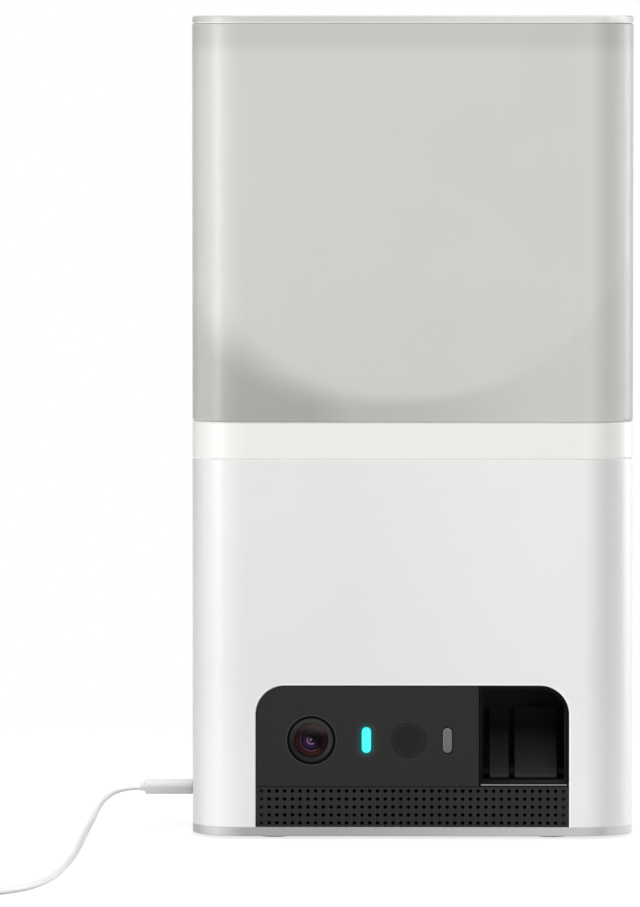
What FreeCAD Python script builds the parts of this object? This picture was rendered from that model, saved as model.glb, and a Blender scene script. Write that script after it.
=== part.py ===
import FreeCAD, Part

# Treat tossing pet camera, as an assembly of separate pieces. Sizes are in millimetres.
# The origin is on the table under the middle of the case. +Z is up, the front looks along -Y
# and +X is on the right of someone who faces the front.

import math
import os
from types import SimpleNamespace

import Sketcher

SIZES = {
    # case outline
    "body_width": 145.0,
    "body_depth": 74.0,
    "corner_radius": 17.0,
    "foot_gap": 1.0,
    "base_thickness": 3.0,
    "sleeve_height": 120.7,
    "sleeve_wall": 2.0,
    "collar_height": 12.0,
    "collar_wall": 4.0,
    "collar_skirt": 7.7,
    "container_gap": 0.3,
    "container_height": 130.4,
    "container_wall": 2.5,
    "lid_gap": 0.2,
    "lid_thickness": 2.4,
    "edge_round": 0.6,
    "lid_round": 1.0,
    "base_round": 0.3,
    # clearances
    "slip": 0.15,
    "running_gap": 0.3,
    "shaft_play": 0.05,
    # base plate, feet, posts and screws
    "rim_height": 3.0,
    "rim_wall": 1.6,
    "post_inset_x": 12.5,
    "post_inset_y": 12.0,
    "post_radius": 4.0,
    "screw_radius": 1.5,
    "screw_grip": 8.0,
    "screw_head_radius": 2.75,
    "screw_head_height": 1.4,
    "foot_radius": 5.0,
    "foot_height": 2.0,
    "foot_inset_x": 27.0,
    "foot_inset_y": 13.0,
    # front window and the pieces in it
    "window_margin": 21.1,
    "window_height": 46.5,
    "window_round": 9.5,
    "window_chamfer": 0.4,
    "window_gap": 0.25,
    "front_recess": 0.4,
    "panel_flange": 1.6,
    "flange_overlap": 1.95,
    "grille_height": 13.2,
    "grille_tab": 3.0,
    "panel_seam": 0.2,
    "hole_radius": 0.62,
    "hole_pitch_x": 2.54,
    "hole_pitch_z": 2.62,
    "hole_margin_x": 1.6,
    "hole_margin_z": 1.3,
    "outlet_width": 29.4,
    "feature_rise": 15.1,
    "bezel_radius": 8.2,
    "bezel_throat": 6.8,
    "bezel_depth": 3.2,
    "lens_radius": 5.3,
    "lens_bulge": 1.1,
    "barrel_radius": 7.0,
    "barrel_wall": 2.7,
    "barrel_length": 20.0,
    "camera_board_size": 24.0,
    "board_thickness": 1.6,
    "light_width": 3.3,
    "light_height": 8.5,
    "capsule_flat": 0.1,
    "light_proud": 0.1,
    "sensor_radius": 5.5,
    "light_board_height": 14.0,
    "light_board_margin": 3.3,
    # speaker
    "speaker_inset": 7.4,
    "speaker_gap": 8.9,
    "speaker_depth": 19.0,
    "speaker_wall": 1.2,
    "cone_thickness": 1.4,
    "cone_rim": 1.15,
    # launch chute and kicker
    "chute_wall": 1.0,
    "chute_depth": 41.6,
    "lip_height": 0.5,
    "lip_proud": 0.2,
    "leg_width": 2.0,
    "leg_length": 17.8,
    "kicker_setback": 17.0,
    "kicker_hub_radius": 2.3,
    "kicker_arm": 25.0,
    "finger_thickness": 1.8,
    "finger_round": 0.8,
    "finger_inset": 3.5,
    "narrow_finger": 6.2,
    "finger_slot": 2.0,
    "kicker_shaft_radius": 1.25,
    "kicker_shaft_reach": 9.0,
    "bush_radius": 2.6,
    "bush_flange_radius": 3.6,
    "bush_flange": 0.8,
    "kick_module": 0.8,
    "kick_gear_width": 4.0,
    "kick_motor_radius": 10.0,
    "kick_motor_length": 20.0,
    "motor_shaft_radius": 1.0,
    "bracket_thickness": 1.8,
    "spring_wire": 0.5,
    "spring_radius": 2.1,
    "spring_pitch": 0.6,
    # treat duct
    "drop_radius": 8.5,
    "duct_wall": 1.5,
    "drop_setback": 29.0,
    "duct_gear_gap": 1.1,
    # portion mechanism
    "deck_thickness": 3.0,
    "wheel_offset": 14.0,
    "drop_margin": 1.0,
    "well_radius": 26.5,
    "well_wall": 2.0,
    "well_floor": 2.0,
    "deck_clearance": 1.0,
    "housing_wall": 1.8,
    "housing_flange": 2.5,
    "housing_gap": 0.4,
    "wheel_hub_radius": 6.0,
    "wheel_height": 14.0,
    "vane_thickness": 2.0,
    "baffle_thickness": 1.6,
    "baffle_centre_hole": 8.0,
    "stirrer_post_radius": 4.0,
    "stirrer_reach": 20.0,
    "stirrer_height": 8.0,
    "stirrer_bar": 3.0,
    "dog_width": 4.2,
    "dog_height": 9.0,
    "drive_shaft_radius": 3.0,
    "drive_bush_radius": 5.0,
    "portion_module": 1.0,
    "portion_gear_width": 4.0,
    "gear_drop": 18.0,
    "gear_seat": 2.0,
    "portion_motor_radius": 10.0,
    "portion_motor_length": 26.0,
    "drive_bracket_thickness": 2.0,
    "standoff_radius": 2.5,
    "standoff_reach": 12.0,
    "standoff_shift": 2.0,
    "standoff_gap": 1.1,
    # treat container
    "bowl_floor_height": 8.6,
    "bowl_curve": 75.4,
    "bowl_wall": 2.0,
    "bowl_height": 50.0,
    "neck_height": 16.0,
    "lid_skirt_depth": 7.9,
    "lid_skirt_wall": 1.8,
    "gasket_width": 1.4,
    "gasket_height": 1.0,
    # container release
    "release_x": -30.0,
    "release_radius": 4.2,
    "release_flange_radius": 5.4,
    "release_flange": 1.2,
    "release_travel": 1.6,
    "release_recess": 0.2,
    "release_spring_radius": 3.2,
    "release_spring_wire": 0.6,
    "latch_depth": 9.0,
    "latch_wall": 1.4,
    # electronics and rear panel
    "rear_half_width": 38.0,
    "rear_rise": 10.0,
    "rear_height": 48.0,
    "rear_round": 8.0,
    "rear_recess": 0.2,
    "vent_width": 24.0,
    "vent_height": 1.6,
    "vent_pitch": 4.0,
    "vent_first": 22.0,
    "board_standoff": 6.0,
    "board_margin": 4.0,
    "main_board_width": 66.0,
    "main_board_height": 38.0,
    "shield_width": 24.0,
    "shield_height": 18.0,
    "shield_depth": 2.6,
    "reset_radius": 2.0,
    "reset_x": -8.0,
    "reset_rise": 7.0,
    "reset_travel": 0.8,
    "reset_flange": 0.8,
    "insert_spacing": 50.0,
    "insert_rise": 32.0,
    "insert_radius": 3.0,
    "insert_bore": 2.0,
    "insert_length": 6.0,
    "boss_wall": 1.4,
    # power jack and plug
    "jack_y": 10.0,
    "jack_rise": 9.1,
    "jack_nose_radius": 4.4,
    "jack_width": 11.0,
    "jack_length": 12.0,
    "pin_radius": 1.75,
    "pin_length": 9.0,
    "plug_radius": 2.5,
    "plug_length": 16.8,
    "neck_radius": 1.45,
    "neck_length": 1.4,
    # cord, coil and far plug
    "cord_diameter": 2.2,
    "coil_inner_radius": 7.0,
    "coil_outer_radius": 18.0,
    "coil_height": 8.9,
    "coil_x": -166.0,
    "coil_y": -215.2,
    "tie_width": 7.0,
    "tie_thickness": 0.9,
    "tie_slack": 1.2,
    "usb_body_length": 22.0,
    "usb_body_width": 11.0,
    "usb_body_height": 7.0,
    "usb_shell_length": 14.0,
    "usb_shell_width": 8.8,
    "usb_shell_height": 4.4,
    "usb_shell_wall": 0.4,
    "usb_neck_radius": 1.6,
    "usb_neck_length": 13.2,
    "usb_round": 1.5,
}

# counts and angles
KICK_GEAR_TEETH = 24
KICK_PINION_TEETH = 10
KICK_PINION_ANGLE = 36.0
KICKER_LEAN = 40.0
PORTION_GEAR_TEETH = 24
PORTION_PINION_TEETH = 12
VANES = 5
BAFFLE_HALF_ANGLE = 55.0
SPRING_TURNS = 4
PRESSURE_ANGLE = math.radians(20)

# shape of a gear tooth, in modules
TOOTH_HEAD = 0.9
TOOTH_FOOT = 1.25
TOOTH_SLACK = 0.12

# places across the front panel, as shares of its width from the left
LENS_PLACE = 0.2486
STATUS_PLACE = 0.4946
SENSOR_PLACE = 0.6839
AUX_PLACE = 0.857

# how close two coordinates are when they are the same, in millimetres
SAME = 0.01

# how much of a cord's shorter run one arc takes
ARC_SHARE = 0.45

Z_AXIS = FreeCAD.Vector(0, 0, 1)
AXIS_TURNS = {
    "x": FreeCAD.Rotation(FreeCAD.Vector(0, 1, 0), 90),
    "y": FreeCAD.Rotation(FreeCAD.Vector(1, 0, 0), -90),
    "z": FreeCAD.Rotation(),
}
SQUARE_CORNERS = (0, 0, 0, 0)

# The cord's route from the plug's neck to the coil: points of x, y and z chosen along the table.
CORD_ROUTE = [
    (-90.7, 10.0, 13.1),
    (-97.5, 9.6, 13.0),
    (-103.7, 5.5, 9.0),
    (-107.4, -5.0, 3.6),
    (-108.6, -20.0, 1.1),
    (-107.6, -48.0, 1.1),
    (-108.4, -95.0, 1.1),
    (-110.2, -140.0, 1.1),
    (-113.0, -178.0, 1.1),
    (-119.5, -207.0, 1.1),
    (-134.0, -224.5, 1.1),
    (-151.0, -231.0, 1.2),
    (-166.0, -232.0, 2.0),
]


class Size:
    """A length kept both as a spreadsheet expression and as its value."""

    def __init__(self, text, value):
        self.text = text
        self.value = value

    def joined(self, sign, other, value):
        return Size(f"({self.text} {sign} {other.text})", value)

    def __add__(self, other):
        other = as_size(other)
        return self.joined("+", other, self.value + other.value)

    def __sub__(self, other):
        other = as_size(other)
        return self.joined("-", other, self.value - other.value)

    def __mul__(self, other):
        other = as_size(other)
        return self.joined("*", other, self.value * other.value)

    def __truediv__(self, other):
        other = as_size(other)
        return self.joined("/", other, self.value / other.value)

    def __neg__(self):
        return as_size(0) - self

    __radd__ = __add__
    __rmul__ = __mul__

    def __rsub__(self, other):
        return as_size(other) - self


def as_size(value):
    """The value itself if it is a Size, or a plain number as one."""
    if isinstance(value, Size):
        return value
    return Size(repr(float(value)) if value >= 0 else f"(0 - {-float(value)!r})", float(value))


def size_sheet(document):
    """Write every driving size into a spreadsheet and give the sizes back by name."""
    sheet = document.addObject("Spreadsheet::Sheet", "sizes")
    for row, (name, value) in enumerate(SIZES.items(), 1):
        sheet.set(f"A{row}", name)
        sheet.set(f"B{row}", str(value))
        sheet.setAlias(f"B{row}", name)
    document.recompute()
    return SimpleNamespace(**{name: Size(f"sizes.{name}", value) for name, value in SIZES.items()})


doc = FreeCAD.newDocument("pet_camera")
size = size_sheet(doc)


# ---- levels, faces and places shared by several pieces ----

right_face = size.body_width / 2
left_face = -right_face
back_face = size.body_depth / 2
front_face = -back_face

base_top = size.foot_gap + size.base_thickness
sleeve_top = base_top + size.sleeve_height
collar_top = sleeve_top + size.collar_height
container_low = collar_top + size.container_gap
container_top = container_low + size.container_height
lid_low = container_top + size.lid_gap
lid_top = lid_low + size.lid_thickness
deck_top = sleeve_top - size.collar_skirt
deck_low = deck_top - size.deck_thickness

sleeve_inner_front = front_face + size.sleeve_wall
sleeve_inner_back = back_face - size.sleeve_wall
frame_inset = size.sleeve_wall + size.slip
post_x = right_face - size.post_inset_x
post_y = back_face - size.post_inset_y

window_right = right_face - size.window_margin
window_left = -window_right
window_top = base_top + size.window_height
panel_left = window_left + size.window_gap
panel_top = window_top - size.window_gap
grille_top = base_top + size.grille_height
panel_low = grille_top + size.panel_seam
panel_round = size.window_round - size.window_gap
outlet_left = window_right - size.outlet_width
chute_right = window_right - size.window_gap
panel_front = front_face + size.front_recess
flange_back = sleeve_inner_front + size.panel_flange
feature_z = panel_low + size.feature_rise
panel_span = outlet_left - window_left
lens_x = window_left + panel_span * LENS_PLACE
status_x = window_left + panel_span * STATUS_PLACE
sensor_x = window_left + panel_span * SENSOR_PLACE
aux_x = window_left + panel_span * AUX_PLACE
barrel_back = flange_back + size.barrel_length
light_board_front = flange_back + size.panel_flange

chute_floor = panel_low + size.chute_wall
chute_back = panel_front + size.chute_depth
kicker_y = front_face + size.kicker_setback
kicker_z = chute_floor + size.running_gap + size.kicker_hub_radius
narrow_left = outlet_left + size.finger_inset
narrow_right = narrow_left + size.narrow_finger
wide_left = narrow_right + size.finger_slot
wide_right = chute_right - size.finger_inset - size.slip
kick_distance = size.kick_module * ((KICK_GEAR_TEETH + KICK_PINION_TEETH) / 2)
kick_pinion_y = kicker_y + kick_distance * math.cos(math.radians(KICK_PINION_ANGLE))
kick_pinion_z = kicker_z + kick_distance * math.sin(math.radians(KICK_PINION_ANGLE))
kicker_shaft_left = outlet_left - size.kicker_shaft_reach
spring_start = chute_right + size.bush_flange
spring_end = spring_start + size.spring_wire + size.spring_pitch * SPRING_TURNS
kick_gear_left = kicker_shaft_left + size.slip
kick_gear_right = kick_gear_left + size.kick_gear_width
kick_bracket_right = kicker_shaft_left - size.running_gap
kick_bracket_left = kick_bracket_right - size.bracket_thickness

wheel_x = size.wheel_offset
drop_x = wheel_x + size.well_radius - size.drop_radius - size.drop_margin
drop_y = front_face + size.drop_setback
well_low = deck_top + size.deck_clearance
well_bottom = well_low + size.well_floor
wheel_low = well_bottom + size.running_gap
wheel_top = wheel_low + size.wheel_height
baffle_low = wheel_top + size.running_gap
portion_gear_low = deck_low - size.gear_drop - size.portion_gear_width
portion_gear_top = portion_gear_low + size.portion_gear_width
drive_bracket_top = portion_gear_low - size.gear_seat
drive_bracket_low = drive_bracket_top - size.drive_bracket_thickness
portion_distance = size.portion_module * ((PORTION_GEAR_TEETH + PORTION_PINION_TEETH) / 2)
portion_pinion_x = wheel_x - portion_distance
portion_gear_reach = size.portion_module * (PORTION_GEAR_TEETH / 2 + TOOTH_HEAD)
housing_top = container_low + size.housing_flange

bowl_low = container_low + size.bowl_floor_height
bowl_centre_z = bowl_low + size.bowl_curve

release_z = (sleeve_top + collar_top) / 2
collar_inner_back = back_face - size.collar_wall
latch_front = collar_inner_back - size.latch_depth

rear_low = base_top + size.rear_rise
rear_top = rear_low + size.rear_height
rear_face = back_face - size.rear_recess
rear_flange_front = sleeve_inner_back - size.panel_flange
main_board_back = rear_flange_front - size.board_standoff
main_board_front = main_board_back - size.board_thickness
reset_z = rear_low + size.reset_rise
insert_z = base_top + size.insert_rise

jack_z = base_top + size.jack_rise
plug_end_x = left_face - size.plug_length


# ---- helpers: binding, sketches and features ----

def bind(item, prop, value):
    item.setExpression(prop, as_size(value).text)


def new_body(name):
    body = doc.addObject("PartDesign::Body", name)
    body.Label = name
    return body


def sketch_on(body, plane, offset):
    """An empty sketch parallel to an origin plane of the body, moved along the plane's normal."""
    sketch = body.newObject("Sketcher::SketchObject", "outline")
    role = f"{plane}_Plane"
    support = next(item for item in body.Origin.OriginFeatures if item.Role == role)
    sketch.AttachmentSupport = [(support, "")]
    sketch.MapMode = "FlatFace"
    bind(sketch, "AttachmentOffset.Base.z", offset)
    return sketch


def measure(sketch, kind, geometry, point, value):
    """Fix one coordinate of a point of the geometry, measured from the sketch's origin."""
    start = Sketcher.Constraint(kind, -1, 1, geometry, point, as_size(value).value)
    bind(sketch, f"Constraints[{sketch.addConstraint(start)}]", value)


def set_radius(sketch, geometry, radius):
    row = sketch.addConstraint(Sketcher.Constraint("Radius", geometry, as_size(radius).value))
    bind(sketch, f"Constraints[{row}]", radius)


def both(value):
    return (-value, value)


def disc(across, up, radius):
    """Draws a circle."""
    def draw(sketch):
        centre = FreeCAD.Vector(as_size(across).value, as_size(up).value, 0)
        circle = sketch.addGeometry(Part.Circle(centre, Z_AXIS, as_size(radius).value), False)
        set_radius(sketch, circle, radius)
        measure(sketch, "DistanceX", circle, 3, across)
        measure(sketch, "DistanceY", circle, 3, up)
    return draw


def rectangle(across, up, rounds=SQUARE_CORNERS):
    """Draws a rectangle between two values each way.

    The corner radii go round from the low left corner: low left, low right, high right, high left.
    A radius of zero is a square corner.
    """
    def draw(sketch):
        left, right = (as_size(value).value for value in across)
        low, high = (as_size(value).value for value in up)
        radii = [as_size(value).value for value in rounds]
        corners = [(left, low), (right, low), (right, high), (left, high)]
        ways = [(1, 0), (0, 1), (-1, 0), (0, -1)]
        lines = []
        for side in range(4):
            (x0, y0), (x1, y1) = corners[side], corners[(side + 1) % 4]
            way_x, way_y = ways[side]
            start, end = radii[side], radii[(side + 1) % 4]
            first = FreeCAD.Vector(x0 + way_x * start, y0 + way_y * start, 0)
            last = FreeCAD.Vector(x1 - way_x * end, y1 - way_y * end, 0)
            lines.append(sketch.addGeometry(Part.LineSegment(first, last), False))
            level = "Horizontal" if way_x else "Vertical"
            sketch.addConstraint(Sketcher.Constraint(level, lines[-1]))
        for corner in range(4):
            before, after = lines[corner - 1], lines[corner]
            if radii[corner] == 0:
                sketch.addConstraint(Sketcher.Constraint("Coincident", before, 2, after, 1))
                continue
            way_in, way_out = ways[corner - 1], ways[corner]
            x, y = corners[corner]
            radius = radii[corner]
            centre = FreeCAD.Vector(x + radius * (way_out[0] - way_in[0]),
                                    y + radius * (way_out[1] - way_in[1]), 0)
            turn = math.radians(180 + 90 * corner)
            circle = Part.Circle(centre, Z_AXIS, radius)
            arc = sketch.addGeometry(Part.ArcOfCircle(circle, turn, turn + math.pi / 2), False)
            sketch.addConstraint(Sketcher.Constraint("Tangent", before, 2, arc, 1))
            sketch.addConstraint(Sketcher.Constraint("Tangent", arc, 2, after, 1))
            set_radius(sketch, arc, rounds[corner])
        for side, kind, value in ((0, "DistanceY", up[0]), (1, "DistanceX", across[1]),
                                  (2, "DistanceY", up[1]), (3, "DistanceX", across[0])):
            measure(sketch, kind, lines[side], 1, value)
    return draw


def outline(inset):
    """Draws the case's plan outline, moved inwards by the inset."""
    radius = size.corner_radius - inset
    return rectangle(both(right_face - inset), both(back_face - inset), (radius,) * 4)


def capsule(centre_x, centre_z, extra=0):
    """Draws an upright capsule of a front light, grown all round by the extra."""
    half_width = size.light_width / 2 + extra
    half_height = size.light_height / 2 + extra
    radius = half_width - size.capsule_flat / 2
    return rectangle((centre_x - half_width, centre_x + half_width),
                     (centre_z - half_height, centre_z + half_height), (radius,) * 4)


def feature(body, kind, drawings, plane, offset, length):
    """Pad or pocket some drawings from an offset plane."""
    sketch = sketch_on(body, plane, offset)
    for draw in drawings:
        draw(sketch)
    made = body.newObject(f"PartDesign::{kind}", kind.lower())
    made.Profile = sketch
    bind(made, "Length", length)
    return made


def add_plan(body, low, high, *drawings):
    return feature(body, "Pad", drawings, "XY", low, high - low)


def cut_plan(body, low, high, *drawings):
    return feature(body, "Pocket", drawings, "XY", high, high - low)


def add_front(body, front, back, *drawings):
    return feature(body, "Pad", drawings, "XZ", -as_size(back), back - front)


def cut_front(body, front, back, *drawings):
    return feature(body, "Pocket", drawings, "XZ", -as_size(front), back - front)


def add_side(body, left, right, *drawings):
    return feature(body, "Pad", drawings, "YZ", left, right - left)


def cut_side(body, left, right, *drawings):
    return feature(body, "Pocket", drawings, "YZ", right, right - left)


def outline_distance(point):
    """How far a point is from the case's plan outline, negative inside it."""
    radius = size.corner_radius.value
    across = abs(point.x) - (right_face.value - radius)
    along = abs(point.y) - (back_face.value - radius)
    return math.hypot(max(across, 0), max(along, 0)) + min(max(across, along), 0) - radius


def round_outline(body, level, radius):
    """Round the outer edges of the case outline at one level."""
    doc.recompute()
    base = body.Tip
    names = []
    for row, edge in enumerate(base.Shape.Edges, 1):
        middle = edge.valueAt((edge.FirstParameter + edge.LastParameter) / 2)
        if abs(middle.z - level.value) < SAME and abs(outline_distance(middle)) < SAME:
            names.append(f"Edge{row}")
    fillet = body.newObject("PartDesign::Fillet", "round")
    fillet.Base = (base, names)
    bind(fillet, "Radius", radius)


def rod(name, axis, middle, radius, start, end):
    """A cylinder along one axis, its middle given on the other two axes in order."""
    cylinder = doc.addObject("Part::Cylinder", name)
    bind(cylinder, "Radius", radius)
    bind(cylinder, "Height", end - start)
    cylinder.Placement = FreeCAD.Placement(FreeCAD.Vector(), AXIS_TURNS[axis])
    others = [key for key in "xyz" if key != axis]
    bind(cylinder, f"Placement.Base.{axis}", start)
    for key, value in zip(others, middle):
        bind(cylinder, f"Placement.Base.{key}", value)
    return cylinder


def block(name, across, along, up):
    """A box between two values on each axis."""
    box = doc.addObject("Part::Box", name)
    for prop, key, (low, high) in zip(("Length", "Width", "Height"), "xyz", (across, along, up)):
        bind(box, prop, high - low)
        bind(box, f"Placement.Base.{key}", low)
    return box


def fuse(name, *pieces):
    joined = doc.addObject("Part::MultiFuse", name)
    joined.Shapes = list(pieces)
    joined.Label = name
    return joined


def cut(name, base, *tools):
    """The base less the tools."""
    tool = tools[0] if len(tools) == 1 else fuse(f"{name}_space", *tools)
    result = doc.addObject("Part::Cut", name)
    result.Base = base
    result.Tool = tool
    result.Label = name
    return result


def common(name, *pieces):
    result = doc.addObject("Part::MultiCommon", name)
    result.Shapes = list(pieces)
    return result


def group(name, pieces):
    """Separate solids that share one node."""
    compound = doc.addObject("Part::Compound", name)
    compound.Links = list(pieces)
    compound.Label = name
    return compound


def shaped(name, shape, place, axis="z", turn=0.0):
    """A piece worked out in code along +Z, turned about itself and stood along an axis."""
    piece = doc.addObject("Part::Feature", name)
    piece.Shape = shape
    turned = AXIS_TURNS[axis].multiply(FreeCAD.Rotation(Z_AXIS, turn))
    piece.Placement = FreeCAD.Placement(FreeCAD.Vector(), turned)
    for key, value in zip("xyz", place):
        bind(piece, f"Placement.Base.{key}", value)
    return piece


def gear_shape(teeth, module, width, bore):
    """A spur gear with involute flanks, standing on its lower face."""
    pitch = teeth * module / 2
    base = pitch * math.cos(PRESSURE_ANGLE)
    root = pitch - TOOTH_FOOT * module
    tip = pitch + TOOTH_HEAD * module
    rolled = math.tan(PRESSURE_ANGLE) - PRESSURE_ANGLE

    def half_tooth(radius):
        slope = math.acos(min(1.0, base / radius))
        return (math.pi / 2 - TOOTH_SLACK) / teeth + rolled - (math.tan(slope) - slope)

    radii = [root, max(root, base), (base + pitch) / 2, pitch, (pitch + tip) / 2, tip]
    flank = [(radius, half_tooth(radius)) for radius in radii if radius >= root]
    points = []
    for tooth in range(teeth):
        middle = 2 * math.pi * tooth / teeth
        rising = [(radius, middle - half) for radius, half in flank]
        falling = [(radius, middle + half) for radius, half in reversed(flank)]
        points += [FreeCAD.Vector(radius * math.cos(angle), radius * math.sin(angle), 0)
                   for radius, angle in rising + falling]
    face = Part.Face(Part.makePolygon(points + points[:1]))
    return face.extrude(FreeCAD.Vector(0, 0, width)).cut(Part.makeCylinder(bore, width))


def spring_shape(wire, radius, pitch, turns):
    """An open coil spring standing on the XY plane, its wire's middle starting at z = 0."""
    path = Part.makeLongHelix(pitch, pitch * turns, radius)
    start = FreeCAD.Vector(radius, 0, 0)
    section = Part.Wire([Part.makeCircle(wire / 2, start, FreeCAD.Vector(0, 1, 0))])
    return Part.Wire(path.Edges).makePipeShell([section], True, True)


def cord_shape(points, diameter):
    """A round tube along straight runs joined by tangent arcs, and the arcs' radii."""
    vectors = [FreeCAD.Vector(*point) for point in points]
    edges = []
    radii = []
    start = vectors[0]
    for before, corner, after in zip(vectors, vectors[1:], vectors[2:]):
        way_in = (corner - before).normalize()
        way_out = (after - corner).normalize()
        turn = way_in.getAngle(way_out)
        shorter = min(before.distanceToPoint(corner), corner.distanceToPoint(after))
        tangent = ARC_SHARE * shorter
        radii.append(tangent / math.tan(turn / 2))
        first = corner - way_in * tangent
        last = corner + way_out * tangent
        bisector = (way_out - way_in).normalize()
        centre = corner + bisector * math.hypot(tangent, radii[-1])
        middle = centre - bisector * radii[-1]
        edges.append(Part.LineSegment(start, first).toShape())
        edges.append(Part.Arc(first, middle, last).toShape())
        start = last
    edges.append(Part.LineSegment(start, vectors[-1]).toShape())
    path = Part.Wire(edges)
    section = Part.Wire([Part.makeCircle(diameter / 2, vectors[0], vectors[1] - vectors[0])])
    return path.makePipeShell([section], True, True), path.Length, radii


# ---- case ----

def base_plate():
    body = new_body("base_plate")
    add_plan(body, size.foot_gap, base_top, outline(0))
    rim_inset = frame_inset + size.rim_wall
    add_plan(body, base_top, base_top + size.rim_height, outline(frame_inset), outline(rim_inset))
    rim_back = front_face + rim_inset + size.slip
    cut_plan(body, base_top, base_top + size.rim_height,
             rectangle(both(window_right + size.flange_overlap + size.slip), (front_face, rim_back)))
    screws = [disc(x, y, size.screw_radius + size.slip) for x, y in post_places()]
    cut_plan(body, size.foot_gap, base_top, *screws)
    heads = [disc(x, y, size.screw_head_radius + size.slip) for x, y in post_places()]
    cut_plan(body, size.foot_gap, size.foot_gap + size.screw_head_height, *heads)
    feet = [disc(x, y, size.foot_radius) for x, y in foot_places()]
    cut_plan(body, size.foot_gap, size.foot_height, *feet)
    round_outline(body, size.foot_gap, size.base_round)
    return body


def post_places():
    return [(x, y) for x in both(post_x) for y in both(post_y)]


def foot_places():
    foot_x = right_face - size.foot_inset_x
    foot_y = back_face - size.foot_inset_y
    return [(x, y) for x in both(foot_x) for y in both(foot_y)]


def rubber_feet():
    feet = [rod(f"foot_{row}", "z", place, size.foot_radius, as_size(0), size.foot_height)
            for row, place in enumerate(foot_places(), 1)]
    return group("rubber_feet", feet)


def base_screws():
    head_top = size.foot_gap + size.screw_head_height
    screws = []
    for row, place in enumerate(post_places(), 1):
        head = rod(f"screw_head_{row}", "z", place, size.screw_head_radius, size.foot_gap, head_top)
        shank = rod(f"screw_shank_{row}", "z", place, size.screw_radius,
                    head_top, base_top + size.screw_grip)
        screws.append(fuse(f"screw_{row}", head, shank))
    return group("base_screws", screws)


def body_sleeve():
    body = new_body("body_sleeve")
    add_plan(body, base_top, sleeve_top, outline(0))
    cut_plan(body, base_top, sleeve_top, outline(size.sleeve_wall))
    window = rectangle((window_left, window_right), (base_top, window_top),
                       (0, 0, size.window_round, size.window_round))
    cut_front(body, front_face, sleeve_inner_front, window)
    rear = rectangle(both(size.rear_half_width), (rear_low, rear_top), (size.rear_round,) * 4)
    cut_front(body, sleeve_inner_back, back_face, rear)
    jack_hole = disc(size.jack_y, jack_z, size.jack_nose_radius + size.slip)
    cut_side(body, left_face, left_face + size.sleeve_wall, jack_hole)
    round_outline(body, sleeve_top, size.edge_round)
    chamfer_window(body)
    return body


def chamfer_window(body):
    """Break the window's outer edge."""
    doc.recompute()
    base = body.Tip
    names = []
    for row, edge in enumerate(base.Shape.Edges, 1):
        box = edge.BoundBox
        on_front = box.YMax < front_face.value + SAME
        in_window = max(-box.XMin, box.XMax) < window_right.value + SAME
        if on_front and in_window and box.ZMax < window_top.value + SAME:
            names.append(f"Edge{row}")
    chamfer = body.newObject("PartDesign::Chamfer", "window_chamfer")
    chamfer.Base = (base, names)
    bind(chamfer, "Size", size.window_chamfer)


def collar_ring():
    body = new_body("collar_ring")
    add_plan(body, deck_top, sleeve_top, outline(frame_inset))
    add_plan(body, sleeve_top, collar_top, outline(0))
    cut_plan(body, deck_top, collar_top, outline(size.collar_wall))
    button_hole = disc(size.release_x, release_z, size.release_radius + size.running_gap)
    cut_front(body, collar_inner_back, back_face, button_hole)
    round_outline(body, collar_top, size.edge_round)
    round_outline(body, sleeve_top, size.edge_round)
    return body


# ---- inner frame ----

def inner_frame():
    body = new_body("inner_frame")
    add_plan(body, deck_low, deck_top, outline(frame_inset))
    posts = [disc(x, y, size.post_radius) for x, y in post_places()]
    add_plan(body, base_top, deck_low, *posts)
    threads = [disc(x, y, size.screw_radius + size.shaft_play) for x, y in post_places()]
    cut_plan(body, base_top, base_top + size.screw_grip + size.slip, *threads)
    cut_plan(body, deck_low, deck_top, disc(wheel_x, 0, size.drive_bush_radius + size.shaft_play),
             disc(drop_x, 0, size.drop_radius))
    return body


# ---- pieces in the front window ----

def front_panel():
    body = new_body("front_panel")
    panel_right = outlet_left - size.panel_seam
    add_front(body, panel_front, sleeve_inner_front,
              rectangle((panel_left, panel_right), (panel_low, panel_top), (0, 0, 0, panel_round)))
    flange_left = window_left - size.flange_overlap
    add_front(body, sleeve_inner_front, flange_back,
              rectangle((flange_left, panel_right), (panel_low, window_top + size.flange_overlap)))
    cut_front(body, panel_front, flange_back, disc(lens_x, feature_z, size.bezel_radius + size.slip),
              capsule(status_x, feature_z, size.slip), capsule(aux_x, feature_z, size.slip),
              disc(sensor_x, feature_z, size.sensor_radius + size.slip))
    return body


def speaker_grille():
    body = new_body("speaker_grille")
    up = (base_top, grille_top)
    add_front(body, panel_front, sleeve_inner_front, rectangle((panel_left, chute_right), up))
    tab_end = window_right + size.flange_overlap
    tab_start = chute_right - size.grille_tab
    for across in ((-tab_end, -tab_start), (tab_start, tab_end)):
        add_front(body, sleeve_inner_front, flange_back, rectangle(across, up))
    columns = how_many(chute_right - panel_left, size.hole_margin_x, size.hole_pitch_x)
    rows = how_many(size.grille_height, size.hole_margin_z, size.hole_pitch_z)
    first_x = -size.hole_pitch_x * ((columns - 1) / 2)
    first_z = base_top + size.grille_height / 2 - size.hole_pitch_z * ((rows - 1) / 2)
    column = [disc(first_x, first_z + size.hole_pitch_z * row, size.hole_radius) for row in range(rows)]
    holes = cut_front(body, panel_front, sleeve_inner_front, *column)
    repeat_across(body, holes, columns, size.hole_pitch_x)
    return body


def how_many(span, margin, pitch):
    """How many copies at the pitch fit a span, with the margin kept at each end."""
    room = span - margin * 2
    return math.floor(room.value / pitch.value) + 1


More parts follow.
